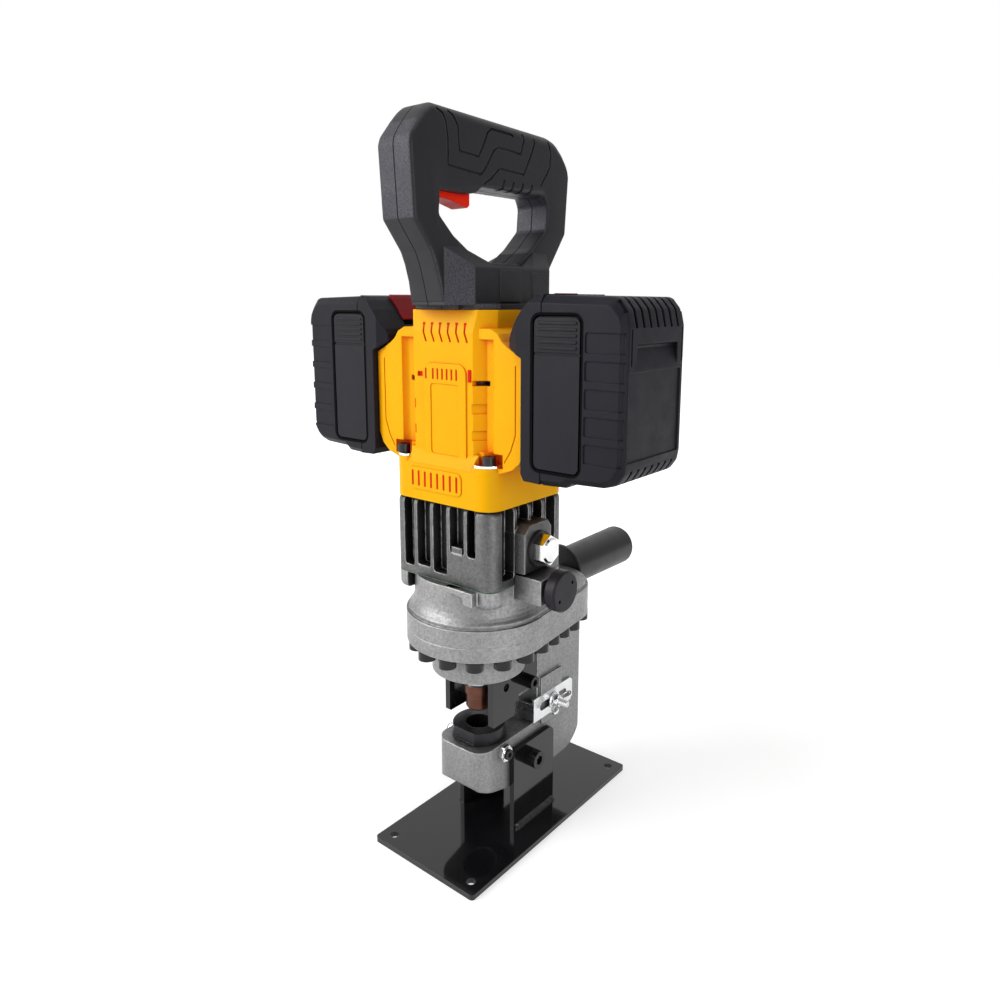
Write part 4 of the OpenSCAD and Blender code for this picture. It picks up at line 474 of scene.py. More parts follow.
def coil(start, axis, length, radius, wire, turns, n=10, steps=28):
    """A helical compression spring with one flat turn at each end; start is the middle of its first end."""
    a, u, v = axes_of(axis)
    start, climb, last = Vector(start), length - 2 * wire, int((turns + 2) * steps)
    line = []
    for i in range(last + 1):
        q = (turns + 2) * i / last                   # turns so far, the end turns included
        rise = 0.0 if q < 1 else climb if q > turns + 1 else climb * ((q - 1) / turns)
        th = 2 * math.pi * q
        line.append(start + a * (wire + rise) + (u * math.cos(th) + v * math.sin(th)) * radius)
    rows = []
    for i, q in enumerate(line):
        along = (line[min(i + 1, last)] - line[max(i - 1, 0)]).normalized()
        out = ((q - start) - a * (q - start).dot(a)).normalized()
        side = along.cross(out).normalized()
        out = side.cross(along)
        rows.append([q + spoke(out, side, j, n) * wire for j in range(n)])
    return grid(rows)

def lathe(start, axis, profile, n):
    """Turned shape: the profile holds (distance along the axis, radius) pairs."""
    a, u, v = axes_of(axis)
    return grid([[Vector(start) + a * t + spoke(u, v, j, n) * r for j in range(n)] for t, r in profile])

def dished_slab(centre, ex, ey, ez, outline, half, inset, depth):
    """An outline in the plane of ex and ey, half thick each way along ez, with a dish sunk in both faces."""
    centre, ex, ey, ez = Vector(centre), Vector(ex), Vector(ey), Vector(ez)
    n = len(outline)
    mx, my = sum(q[0] for q in outline) / n, sum(q[1] for q in outline) / n
    def ring(k, t):
        return [centre + ex * (mx + (x - mx) * k) + ey * (my + (y - my) * k) + ez * t for x, y in outline]
    lower = [(inset * 0.9, -half + depth), (inset, -half + depth), (inset * 1.12, -half), (1.0, -half)]
    return grid([ring(k, t) for k, t in lower] + [ring(k, -t) for k, t in lower[::-1]])

PUNCH_Y = -0.037                         # the punch axis lies this far along Y
def pt(x, y, z):
    """A point given in mm from the punch axis."""
    return Vector((x * MM, y * MM + PUNCH_Y, z * MM))

def prism_y(outline, y0, y1):
    """Solid along Y from (x, z) points."""
    return grid([[pt(x, y, z) for x, z in outline] for y in (y0, y1)])

def prism_x(outline, x0, x1):
    """Solid along X from (y, z) points."""
    return grid([[pt(x, y, z) for y, z in outline] for x in (x0, x1)])

def rect(x0, x1, z0, z1):
    return [(x0, z0), (x1, z0), (x1, z1), (x0, z1)]

def box_mm(x0, x1, y0, y1, z0, z1):
    return prism_y(rect(x0, x1, z0, z1), y0, y1)

def round_rect(x0, x1, z0, z1, r, n=4):
    out = []
    middles = ((x1 - r, z1 - r), (x0 + r, z1 - r), (x0 + r, z0 + r), (x1 - r, z0 + r))
    for quarter, (cx, cz) in enumerate(middles):
        for i in range(n + 1):
            th = math.radians(quarter * 90 + 90 * i / n)
            out.append((cx + r * math.cos(th), cz + r * math.sin(th)))
    return out

def turns_left(loop):
    n = len(loop)
    return sum(loop[i][0] * loop[(i + 1) % n][1] - loop[(i + 1) % n][0] * loop[i][1] for i in range(n)) > 0

def offset_outline(points, insets, n=5):
    """Closed (x, z, radius) outline with each edge moved in by its inset and each corner rounded."""
    m, left, lines, corner, out = len(points), turns_left(points), [], [], []
    for i in range(m):
        a, b = points[i], points[(i + 1) % m]
        dx, dz = b[0] - a[0], b[1] - a[1]
        length = math.hypot(dx, dz)
        nx, nz = (-dz / length, dx / length) if left else (dz / length, -dx / length)
        lines.append((a[0] + nx * insets[i], a[1] + nz * insets[i], dx / length, dz / length))
    for i in range(m):                   # where each edge meets the one before it
        (x1, z1, dx1, dz1), (x2, z2, dx2, dz2) = lines[i - 1], lines[i]
        t = ((x2 - x1) * dz2 - (z2 - z1) * dx2) / (dx1 * dz2 - dz1 * dx2)
        corner.append((x1 + dx1 * t, z1 + dz1 * t))
    for i, c in enumerate(corner):
        r = points[i][2]
        if r == 0:
            out.append(c)
            continue
        before, after = corner[i - 1], corner[(i + 1) % m]
        l0, l1 = math.dist(before, c), math.dist(after, c)
        u0 = ((before[0] - c[0]) / l0, (before[1] - c[1]) / l0)
        u1 = ((after[0] - c[0]) / l1, (after[1] - c[1]) / l1)
        half = math.acos(max(-1, min(1, u0[0] * u1[0] + u0[1] * u1[1]))) / 2
        t = min(r / math.tan(half), 0.46 * l0, 0.46 * l1)
        a = (c[0] + u0[0] * t, c[1] + u0[1] * t)
        b = (c[0] + u1[0] * t, c[1] + u1[1] * t)
        for k in range(n):
            q = k / (n - 1)
            out.append(tuple((1 - q) ** 2 * a[e] + 2 * q * (1 - q) * c[e] + q * q * b[e] for e in (0, 1)))
    return out

def carve(solid, cutter, how="DIFFERENCE", tangled=True):
    """The solid less the cutter, or with it, by an exact boolean; both are (verts, faces).

    tangled says that a solid's own parts may overlap.
    """
    obs = []
    for v, f in (solid, cutter):
        me = bpy.data.meshes.new("work")
        me.from_pydata([tuple(q) for q in v], [], f)
        bm = bmesh.new()
        bm.from_mesh(me)
        bmesh.ops.recalc_face_normals(bm, faces=bm.faces)
        bm.to_mesh(me)
        bm.free()
        ob = bpy.data.objects.new("work", me)
        bpy.context.scene.collection.objects.link(ob)
        obs.append(ob)
    mod = obs[0].modifiers.new("cut", "BOOLEAN")
    mod.operation, mod.solver, mod.object, mod.use_self = how, "EXACT", obs[1], tangled
    bpy.context.view_layer.update()
    result = obs[0].evaluated_get(bpy.context.evaluated_depsgraph_get())
    me = result.to_mesh()
    verts, faces = [q.co.copy() for q in me.vertices], [tuple(q.vertices) for q in me.polygons]
    result.to_mesh_clear()
    for ob in obs:
        me = ob.data
        bpy.data.objects.remove(ob)
        bpy.data.meshes.remove(me)
    return verts, faces

# -------------------- weld beads along the feet of the uprights
BEAD_X, BEAD_Y, PLATE_TOP = 0.0282, (-0.0275, 0.0225), 0.004
BEAD_STEPS, BEAD_RIPPLE, BEAD_SIDES = 150, 7.5, 8    # the ripple is in steps
BEAD_LEG, BEAD_DRAG = 0.0034, 0.0011

def weld_bead(name, side):
    (y0, y1), root, rows = BEAD_Y, side * BEAD_X, []
    for i in range(BEAD_STEPS + 1):
        y = y0 + (y1 - y0) * i / BEAD_STEPS
        taper = min(1.0, min(i, BEAD_STEPS - i) / 5.0) ** 0.5
        ripple = 0.5 + 0.5 * math.cos(2 * math.pi * i / BEAD_RIPPLE)
        wander = 0.00018 * math.sin(i * 0.37) + 0.00012 * math.sin(i * 0.91 + 1)
        leg = (BEAD_LEG + wander + 0.00022 * ripple) * taper
        ring = [Vector((root - side * 0.0004, y, PLATE_TOP - 0.0003))]
        for k in range(BEAD_SIDES + 1):
            th = math.pi / 2 * k / BEAD_SIDES
            reach = leg * (1.0 - 0.20 * math.sin(2 * th))
            drag = BEAD_DRAG * math.sin(2 * th) if i < BEAD_STEPS else 0.0
            x, z = root + side * reach * math.cos(th), PLATE_TOP + reach * math.sin(th)
            ring.append(Vector((x, y + drag, z)))
        rows.append(ring)
    piece(name, *grid(rows), "frame", "weld", "black_paint", sharp=60)

weld_bead("weld_bead_right", 1)
weld_bead("weld_bead_left", -1)

# -------------------- stud and wing nut of the stop gauge
STUD_PITCH, STUD_DEPTH = 0.001, 0.00055
NUT_PROFILE = [(0, 0.0032), (0, 0.0066), (0.0002, 0.0069), (0.0010, 0.0069), (0.0013, 0.0066),
               (0.0014, 0.0056), (0.0018, 0.0057), (0.0050, 0.0050), (0.0060, 0.0045), (0.0064, 0.0041),
               (0.0064, 0.0031)]                     # washer and coned hub
WING = [(0.3, 0.2), (3.2, -0.4), (4.6, 1.0), (6.2, 2.6), (7.2, 4.2), (7.5, 6.0), (7.2, 7.8), (6.3, 9.0),
        (5.0, 9.5), (3.7, 9.1), (2.4, 7.8), (1.4, 5.8), (0.6, 3.4)]      # mm along the stud, and out
WING_ROOT, WING_TILT, WING_HALF = 3.8, 20, 0.0011    # mm, degrees, metres

lo, hi = corners("stop_stud")
stud = (lo + hi) / 2
v, f = threaded((lo.x, stud.y, stud.z), (1, 0, 0), hi.x - lo.x, (hi.z - lo.z) / 2, STUD_PITCH, STUD_DEPTH)
piece("stop_stud_thread", v, f, "frame", "bright_steel", "steel", sharp=50, replace=("stop_stud",))

nut_x = corners("wing_nut")[0].x
parts = [lathe((nut_x, stud.y, stud.z), (1, 0, 0), NUT_PROFILE, 40)]
for side in (-1, 1):
    a = math.radians(side * 90 + WING_TILT)
    out, flat = Vector((0, -math.sin(a), math.cos(a))), Vector((0, math.cos(a), math.sin(a)))
    outline = [(x * MM, (y + WING_ROOT) * MM) for x, y in WING]
    parts.append(dished_slab((nut_x + 0.003, stud.y, stud.z), (1, 0, 0), out, flat, outline, WING_HALF,
                             inset=0.62, depth=0.00045))
v, f = join(*parts)
piece("wing_nut_cast", v, f, "gauge_nut", "chrome", "chrome", sharp=40, bevel=0.00018, replace=("wing_nut",))

# -------------------- springs
def spring(node, wire, turns, hangs):
    """A coil in the place of a spring's plain solid, with the middle and the corners of its box."""
    lo, hi = corners(node)
    c = (lo + hi) / 2
    held = (c.x, c.y, hi.z if hangs else lo.z)
    v, f = coil(held, (0, 0, -1 if hangs else 1), hi.z - lo.z, (hi.x - lo.x) / 2 - wire, wire, turns)
    ob = piece(node + "_coil", v, f, "frame", "spring_steel", "spring_steel", sharp=60, replace=(node,))
    return ob, c, lo, hi

ob, c, lo, hi = spring("return_spring", 0.0011, 2.4, hangs=False)
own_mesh(ob)
ob, c, lo, hi = spring("trigger_spring", 0.0004, 4, hangs=True)
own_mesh(ob)

# -------------------- red mesh behind the front vents
VENT_FACE, COLLAR_FACE = -36.0, -41.0                # front face of the housing, and of its collar
strips = []
for k in range(6):                                   # upper row, of bent slots
    x = -17.7 + k * 7.58
    bent = [(x - 1.2, 397.4), (x - 1.2, 391), (x + 1.3, 384.1), (x + 3.7, 384.1), (x + 1.2, 391),
            (x + 1.2, 397.4)]
    strips.append(prism_y(bent, VENT_FACE + 0.9, VENT_FACE + 1.7))
for x in [-15, 24.8] + [-8.2 + k * 4.35 for k in range(6)]:      # middle row
    strips.append(prism_y(rect(x - 1.2, x + 1.2, 358.6, 366.8), VENT_FACE - 0.6, VENT_FACE + 0.4))
for k in range(8):                                   # lower row, in the collar
    x = -3.5 + (k - 3.5) * 6
    strips.append(prism_y(rect(x - 1.3, x + 1.3, 282.6, 294.4), COLLAR_FACE - 0.8, COLLAR_FACE + 0.2))
window = rect(-24.3, -18.7, 359.9, 363.9)            # beside the middle row
strips.append(prism_y(window, VENT_FACE + 1.4, VENT_FACE + 2.2))
piece("vent_mesh_front", *join(*strips), "frame", "red_liner", "red_liner", sharp=40)

# -------------------- batteries
CLIP_RECT, CLIP_DEEP = (77.5, 113.5, 307.0, 403.5), 2        # recess of a release clip, mm
CASE = [(84.2, 296.8, 0), (101.5, 297.6, 2), (105.4, 300.6, 2), (128.5, 301.5, 9), (137.5, 304.2, 8),
        (142.2, 311, 7), (143.3, 318, 6), (143.3, 397, 6), (141.0, 407.0, 7), (135.0, 414.2, 7),
        (84.2, 415.4, 0)]                            # (x, z, corner radius)
CASE_IN = [4.6] * 5 + [3.6] * 3 + [5.6] * 2 + [0.0]  # how far the edges of its long faces lie inside it
HALF, PAST = 37.5, 40                                # half the width of a battery, and past its long face
STATIONS = [(37.5, 1.0), (37.5, 0.93), (37.35, 0.86), (36.9, 0.77), (34.5, 0.24), (33.8, 0.11), (32.9, 0.03),
            (32.0, 0.0)]                             # (distance from the middle, share of CASE_IN)
FIELD_DEPTH, FIELD_FLOOR = 0.85, 34.7                # of the sunk fields between the ribs

def case_loft(shrink=0.0):
    """The case as a loft across its width, all moved in by shrink."""
    rows = []
    for sign, stations in ((-1, STATIONS), (1, STATIONS[::-1])):
        for y, k in stations:
            insets = [q * k + shrink for q in CASE_IN]
            insets[-1] = 0.05 if shrink else 0.0     # the open side stays where it is
            rows.append([pt(x, sign * (y - shrink), z) for x, z in offset_outline(CASE, insets)])
    return grid(rows)

def end_band(z_from, z_to, deep, x_min):
    """Closed (x, z) strip along the end of the case, from just outside it to a depth inside it."""
    edges = len(CASE) - 1
    outer, inner = (offset_outline(CASE, [d] * edges + [0.0]) for d in (-1.0, deep))
    keep = [i for i, q in enumerate(inner) if z_from <= q[1] <= z_to and q[0] >= x_min]
    return [outer[i] for i in keep] + [inner[i] for i in reversed(keep)]

def end_plate(y0, y1, z0, z1, x0, x1, r=1.2):
    """Round-cornered solid along X, drawn in (y, z)."""
    return prism_x(round_rect(y0, y1, z0, z1, r), x0, x1)

def mirrored(solid, side):
    return [Vector((q.x * side, q.y, q.z)) for q in solid[0]], solid[1]

def battery_case(name, side, body, nodes):
    fields = []
    for sgn in (-1, 1):                              # sunk fields that leave the wrapping ribs
        for k in range(5):
            z0 = 315.5 + 16.5 * k
            fields.append(prism_y(round_rect(116, 150, z0, z0 + 12, 1.6), sgn * FIELD_FLOOR, sgn * PAST))
    case = carve(carve(case_loft(), join(*fields)), case_loft(FIELD_DEPTH), "UNION")
    pull = [(143.9, 387.2), (140.2, 386.0), (139.6, 384.6), (143.9, 371.8)]      # its floor slopes
    label = end_plate(-32.5, 30.5, 318, 370.6, 142.3, 146)       # bare field of a label
    cut = [prism_y(pull, -24.5, 25.5), label]
    for y in (-30.3, 31.3):                          # slits beside the pull
        cut.append(end_plate(y - 0.7, y + 0.7, 374.5, 396, 142.1, 146, 0.6))
    for k in range(7):                               # grooves over the upper and the lower edge
        y = -25.2 + 8.4 * k
        cut.append(prism_y(end_band(389.5, 420, 1.9, 128), y - 1.35, y + 1.35))
        cut.append(prism_y(end_band(290, 314.5, 1.9, 128), y - 1.35, y + 1.35))
    for y in (-33.5, 33.5):                          # corner notches of the upper edge
        cut.append(prism_y(end_band(401, 420, 1.6, 134), y - 1.6, y + 1.6))
    for sgn in (-1, 1):
        cut.append(prism_y(round_rect(*CLIP_RECT, 5), sgn * (HALF - CLIP_DEEP), sgn * PAST))
    solid = mirrored(carve(case, join(*cut)), side)
    piece(name, *solid, body, "battery_case", "battery_case", sharp=28, replace=nodes)

def release_clips(name, side, body, nodes):
    """The two clip plates of a battery: a plain panel, and a ribbed thumb end past a groove."""
    x0, x1, z0, z1 = CLIP_RECT
    parts = []
    for sgn in (-1, 1):
        def at(outline, depth):                      # depth below the battery's long face
            return [pt(x, sgn * (HALF - depth), z) for x, z in outline]
        panel = round_rect(x0 + 1.2, x1 - 1.2, z0 + 0.9, z1 - 1.5, 4)
        groove = rect(x0, x1, 379.2, 380.9)
        plate = grid([at(panel, CLIP_DEEP + 0.02), at(panel, 0.35)])
        parts.append(carve(plate, grid([at(groove, 1.1), at(groove, -1)])))
        thumb = round_rect(x0 + 1.7, x1 - 1.7, 381.1, z1 - 2.0, 3.4)
        crown = [(x0 + (x - x0) * 0.97 + 0.5, (z - 391) * 0.97 + 391) for x, z in thumb]
        parts.append(grid([at(thumb, CLIP_DEEP), at(thumb, 0.75), at(crown, 0.6)]))
        for k in range(5):
            z = 383.8 + 3.75 * k
            foot, top = (round_rect(x0 + 3.4 + g, x1 - 3.4 - g, z - 0.95 + g, z + 0.95 - g, max(0.3, 0.9 - g))
                         for g in (0, 0.25))
            parts.append(grid([at(foot, 0.8), at(foot, -0.22), at(top, -0.38)]))
    solid = mirrored(join(*parts), side)
    piece(name, *solid, body, "battery_clip", "battery_case", sharp=30, replace=nodes)

release_clips("release_clips_right", 1, "battery_right", ("battery_clips_right",))
release_clips("release_clips_left", -1, "battery_left", ("battery_clips_left",))
battery_case("battery_case_right", 1, "battery_right", ("battery_shell_right",))
battery_case("battery_case_left", -1, "battery_left", ("battery_shell_left",))

# -------------------- finned gear housing
FIN_X, FIN_Y, FIN_CY, FIN_R = 46.5, 43.0, 2.0, 10.0  # half sizes, middle along Y, corner radius
GROOVE, FIN_TOP = 8.6, 280                           # depth of the grooves; they are open at the top
FRONT_GROOVES = [(-35.5, -25.4), (-22.6, -9.3), (-6.7, 6.7), (9.3, 22.7), (25.3, 33.5)]
BLOCK = ((0.6, 216.02), (0, 216.7), (0, 268.6), (0.5, 270.5), (1.5, 271.8), (3.2, 272.5))     # (inset, z)
PADS = ((3.4, 203.4), (1.6, 203.8), (0.5, 205), (0, 207), (0, 215.98))
GASKET = ((4, 215.75), (-0.12, 215.75), (-0.12, 216.15), (4, 216.15))

def fin_plan(inset, z):
    outline = round_rect(-FIN_X + inset, FIN_X - inset, -FIN_Y + inset, FIN_Y - inset, FIN_R - inset, 5)
    return [pt(x, y + FIN_CY, z) for x, y in outline]

cut = []
for sgn in (-1, 1):
    for k, (x0, x1) in enumerate(FRONT_GROOVES):     # front and back
        low = 239 if (sgn < 0 and k >= 3) else 222 + (k % 2) * 2
        y0, y1 = sorted((FIN_CY + sgn * (FIN_Y - GROOVE), FIN_CY + sgn * (FIN_Y + 2)))
        cut.append(prism_y(round_rect(x0, x1, low, FIN_TOP, 2.2), y0, y1))
    for k in (-1.5, -0.5, 0.5, 1.5):                 # sides
        y, low = FIN_CY + 16 * k, 258 if (sgn > 0 and abs(k) < 1) else 222
        x0, x1 = sorted((sgn * (FIN_X - GROOVE), sgn * (FIN_X + 2)))
        cut.append(end_plate(y - 6.6, y + 6.6, low, FIN_TOP, x0, x1, 2.2))
cut.append(box_mm(-31.5, 31.5, FIN_CY - 31.5, FIN_CY + 31.5, 224, 290))          # hollow for the gears

def boss(x, g):
    """Outline of the oil plug's boss at x, bevelled in by g."""
    outline = [(-15.5 + g, 226 + g), (15.5 - g, 226 + g), (15.5 - g, 255 - g), (11.5 - g, 260 - g),
               (-9.5 + g, 260 - g), (-15.5 + g, 254 - g)]
    return [pt(x, y, z) for y, z in outline]

ledge = prism_y(rect(10.5, 20, 239, 243.5), -40.2, -33)      # inside one groove
plug = grid([boss(38, 0), boss(54.9, 0), boss(55.7, 0.3), boss(56, 1.0)])
v, f = join(carve(grid([fin_plan(*q) for q in BLOCK]), join(*cut)), plug, ledge)
piece("gear_housing_cast", v, f, "frame", "fin_casting", "fin_casting", sharp=32, replace=("gear_housing",))

# corner pads and apron of the pump casting under the fins, and the gasket between them
NECK_R = 46.9
ROUND = [2 * math.pi * j / 64 for j in range(64)]
neck = [[pt(NECK_R * math.cos(a), NECK_R * math.sin(a), z) for a in ROUND] for z in (200, 220)]
between = join(box_mm(-33.5, 33.5, -60, 60, 200, 220), box_mm(-60, 60, FIN_CY - 30, FIN_CY + 30, 200, 220),
               grid(neck))
apron = prism_y([(9.5, 216), (9.5, 213.2), (10.6, 212.2), (25, 211.4), (26.2, 210), (26.4, 207.2),
                 (27.6, 206), (34.5, 206), (34.5, 216)], -46.6, -36)
v, f = join(carve(grid([fin_plan(*q) for q in PADS]), between), apron)
piece("pump_corner_pads", v, f, "frame", "silver_casting", "silver_casting", sharp=32)
v, f = grid([fin_plan(*q) for q in GASKET])
piece("joint_gasket", v, f, "frame", "gasket", "seal", sharp=32)

# -------------------- handle
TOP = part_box("handle_right")[1][2] / MM
NECK, BAR = 406.0, TOP - 46.3                        # foot of the handle, lower face of the grip
BAR_W, FOOT_W = 15.1, 27.8                           # half widths
HANDLE_OUT = [                                       # (y, z, corner radius)
    (-36, NECK + 0.3, 0), (-36, NECK + 3.6, 0), (-49.5, NECK + 5.5, 0), (-52.6, NECK + 18, 6),
    (-56, NECK + 29, 12), (-59.5, NECK + 37, 12), (-74.3, BAR - 24.5, 5), (-77, TOP - 26.8, 5),
    (-75.8, TOP - 21.4, 30), (-72.2, TOP - 16.6, 40), (-67.8, TOP - 10.8, 40), (-62.5, TOP - 4.8, 40),
    (-57.0, TOP - 0.2, 30), (66, TOP - 2.6, 60), (75.5, TOP - 5, 40), (82.5, TOP - 10.3, 40),
    (88.2, TOP - 20.3, 30), (90.2, TOP - 29.3, 8), (86.5, BAR - 25, 6), (67, NECK + 29, 6),
    (64.9, NECK + 12, 6), (63, NECK + 5.5, 0), (52, NECK + 3.6, 0), (52, NECK + 0.3, 0)]
HANDLE_IN = [
    (-51.6, BAR - 5.1, 1), (-51.9, BAR - 20.8, 4), (-39, NECK + 47.7, 14), (-12.5, NECK + 31.5, 3),
    (28, NECK + 31.5, 3), (46.8, NECK + 43.7, 12), (62.5, BAR - 22.6, 4), (64, BAR - 5.5, 5), (58, BAR, 5),
    (-10.6, BAR, 0), (-17.9, BAR - 4.7, 0), (-24, BAR - 5.6, 0)]
GRIP_LINES = [                                       # (y, depth under the top)
    [(-53.9, 3.8), (-48.6, 6.4), (-46, 10.6), (-44.3, 18.7), (-44, 27.8), (-44.2, 36.6), (-28, 37.8),
     (-12.8, 38.7), (-7.7, 33.9), (1.7, 20.6), (6, 19), (18, 19.4), (30.1, 20.2), (34, 10), (32.3, 6.3)],
    [(-43.1, 3.7), (-38.6, 6.4), (-34.9, 11.8), (-33.3, 26.7), (-14.7, 27.6), (-9.6, 19), (-5.5, 10.8),
     (-1.4, 8.3), (18.9, 8.7), (22.2, 9.8)],
    [(-9.8, 44.4), (-2.5, 40.3), (7, 32.4), (33.7, 33.5), (42.8, 17.5), (46.3, 9.6), (45.1, 7.7)],
    [(63.2, 7.1), (65.8, 15.7), (64.8, 25), (57.5, 34.2), (53.9, 38.8)]]
GRIP_LINE_W, SCREW_R = 1.7, 3.6
BAR_SCREWS = [(-66, BAR - 1.5), (-61, TOP - 18.8), (76, TOP - 24.8), (74, BAR - 20.5)]
FOOT_SCREWS = [(-40, NECK + 14), (52, NECK + 16)]
FOOT_FRONT, FOOT_BACK, FOOT_ENDS = -33.3, 48.3, (-49, 61)    # ends of its sides, and of the whole foot
SLANT_LONG, SLANT_WIDE = 15.7, 12.7                  # size of its slanted faces, in plan
PLATE_HALF, PLATE_CHAMFER = 39.4, 12.0               # of the plate under the foot
ACROSS = [15.1, 15.05, 14.9, 14.6, 14.2, 13.6, 12.7, 11.6, 10.2, 8.4, 6.4]       # stations of the loft
CORE_IN = 1.3                                        # the core lies this far inside the shell

def band(line, w):
    """Outline of a narrow strip along a polyline."""
    out, back = [], []
    for i, (y, z) in enumerate(line):
        a, b = line[max(i - 1, 0)], line[min(i + 1, len(line) - 1)]
        length = math.dist(a, b)
        ny, nz = -(b[1] - a[1]) / length * w / 2, (b[0] - a[0]) / length * w / 2
        out.append((y + ny, z + nz))
        back.append((y - ny, z - nz))
    return out + back[::-1]

def inward(loop):
    """Unit vectors into the loop, one at each point."""
    k, out = 1 if turns_left(loop) else -1, []
    for i, q in enumerate(loop):
        ny = nz = 0.0
        for a, b in ((loop[i - 1], q), (q, loop[(i + 1) % len(loop)])):
            length = max(1e-6, math.dist(a, b))
            ny += -k * (b[1] - a[1]) / length
            nz += k * (b[0] - a[0]) / length
        length = math.hypot(ny, nz)
        out.append((ny / length, nz / length))
    return out

def rounded_loft(loop, radius, more, sign=1):
    """Loft across X whose long edges are rounded by radius(y, z); more moves the whole surface in.

    With sign -1 it is the cutter of an opening, and goes on past the faces.
    """
    normals, rows = inward(loop), []
    for x in [-q for q in ACROSS] + ACROSS[::-1]:
        row = []
        for (y, z), (ny, nz) in zip(loop, normals):
            r = radius(y, z)
            t = min(r, max(0.0, abs(x) - (BAR_W - r)))
            d = (r - math.sqrt(max(0.0, r * r - t * t))) + more
            across = x * (BAR_W - more) / BAR_W if sign > 0 else x
            row.append(pt(across, y + sign * ny * d, z + sign * nz * d))
        rows.append(row)
    if sign < 0:
        ends = [[Vector((x * MM, q.y, q.z)) for q in row] for x, row in ((-40, rows[0]), (40, rows[-1]))]
        rows = [ends[0]] + rows + [ends[1]]
    return grid(rows)

def step01(v, a, b):
    return max(0.0, min(1.0, (v - a) / (b - a)))

def outer_radius(y, z):
    """Sharp at the foot, fuller up the bars, and round on the crown."""
    crown = 6.4 * step01(z, TOP - 25, TOP - 9) * (0.4 + 0.6 * step01(y, -64, -44))
    return 0.6 + 1.8 * step01(z, NECK + 6, NECK + 20) + crown

def inner_radius(y, z):
    """Sharper over the trigger, and round under the fingers."""
    trigger = 1.4 * step01(z, BAR - 12, BAR - 7) * (1 - step01(y, -8, 4))
    return 2.2 - trigger + 3.6 * step01(y, -8, 4) * step01(z, BAR - 5, BAR - 0.5)

def foot_row(w, z):
    """Ring of the foot at half width w; it narrows to the bars in front and behind."""
    y0, y3 = FOOT_ENDS
    y1, y2 = FOOT_FRONT - (FOOT_W - w) * SLANT_LONG / SLANT_WIDE, FOOT_BACK + (FOOT_W - w)
    outline = ((-w, y1), (-BAR_W, y0), (BAR_W, y0), (w, y1), (w, y2), (BAR_W, y3), (-BAR_W, y3), (-w, y2))
    return [pt(x, y, z) for x, y in outline]

def screw_hole(y, z):
    turn = [2 * math.pi * j / 20 for j in range(20)]
    ring = [(y + SCREW_R * math.cos(a), z + SCREW_R * math.sin(a)) for a in turn]
    return prism_x(ring, -FOOT_W - 2, -BAR_W + 4)

def handle_shell():
    """The handle as one shell cut by its grip lines, over a core, on a foot with stepped bands."""
    outside = offset_outline(HANDLE_OUT, [0.0] * len(HANDLE_OUT), 6)
    inside = offset_outline(HANDLE_IN, [0.0] * len(HANDLE_IN), 5)
    opening = rounded_loft(inside, inner_radius, 0.0, -1)
    shell = carve(rounded_loft(outside, outer_radius, 0.0), opening, tangled=False)
    core = rounded_loft(outside, outer_radius, CORE_IN)
    core = carve(core, rounded_loft(inside, inner_radius, CORE_IN, -1), tangled=False)
    for line in GRIP_LINES:
        strip = band([(y, TOP - down) for y, down in line], GRIP_LINE_W)
        for x0, x1 in ((3, 18), (-18, -3)):
            shell = carve(shell, prism_x(strip, x0, x1), tangled=False)
    cut = [screw_hole(*q) for q in BAR_SCREWS]
    for k in range(4):                               # finger ridges under the grip
        y = 9 + 10.5 * k
        ridge = [(y - 1.7, BAR - 2), (y + 1.7, BAR - 2), (y + 4.2, BAR + 6.5), (y + 2.4, BAR + 7.3)]
        cut += [prism_x(ridge, x0, x1) for x0, x1 in ((8.5, 18), (-18, -8.5))]
    shell = carve(shell, join(*cut), tangled=False)
    slot = box_mm(-7.3, 7.3, -50.4, -14.6, BAR - 6.5, BAR + 12.5)        # for the trigger
    wide = box_mm(-8.8, 8.8, -50.4, -14.6, BAR + 1.8, BAR + 12.4)
    shell = carve(shell, slot, tangled=False)
    core = carve(carve(core, slot, tangled=False), wide, tangled=False)
    foot = grid([foot_row(FOOT_W, NECK + 3), foot_row(FOOT_W, NECK + 27), foot_row(FOOT_W - 0.9, NECK + 29),
                 foot_row(BAR_W + 0.3, NECK + 40)])
    foot = carve(foot, opening, tangled=False)
    foot = carve(foot, join(*(screw_hole(*q) for q in FOOT_SCREWS)), tangled=False)
    bands = []
    for sgn in (-1, 1):                              # stepped bands on the sides of the foot
        for y0, y1, proud, top in ((-7.5, 14, 0.9, 26), (28.0, 46.5, 0.7, 25)):
            root = rect(y0 - 0.8, y1 + 0.4, NECK + 4.5, NECK + top + 0.8)
            face = rect(y0, y1, NECK + 5, NECK + top)
            bands.append(grid([[pt(sgn * (FOOT_W - 1), y, z) for y, z in root],
                               [pt(sgn * (FOOT_W + proud), y, z) for y, z in face]]))
    o, c, y1, y2 = PLATE_HALF, PLATE_CHAMFER, FOOT_FRONT, FOOT_BACK
    outline = [(-o, y1 + c), (-o + c, y1), (o - c, y1), (o, y1 + c), (o, y2 - c), (o - c, y2), (-o + c, y2),
               (-o, y2 - c)]
    plate = grid([[pt(x, y, z) for x, y in outline] for z in (NECK + 0.2, NECK + 3.8)])
    v, f = join(shell, core, foot, plate, *bands)
    piece("handle_shell", v, f, "frame", "black_shell", "black_shell", sharp=24,
          replace=("handle_left", "handle_right"))

handle_shell()

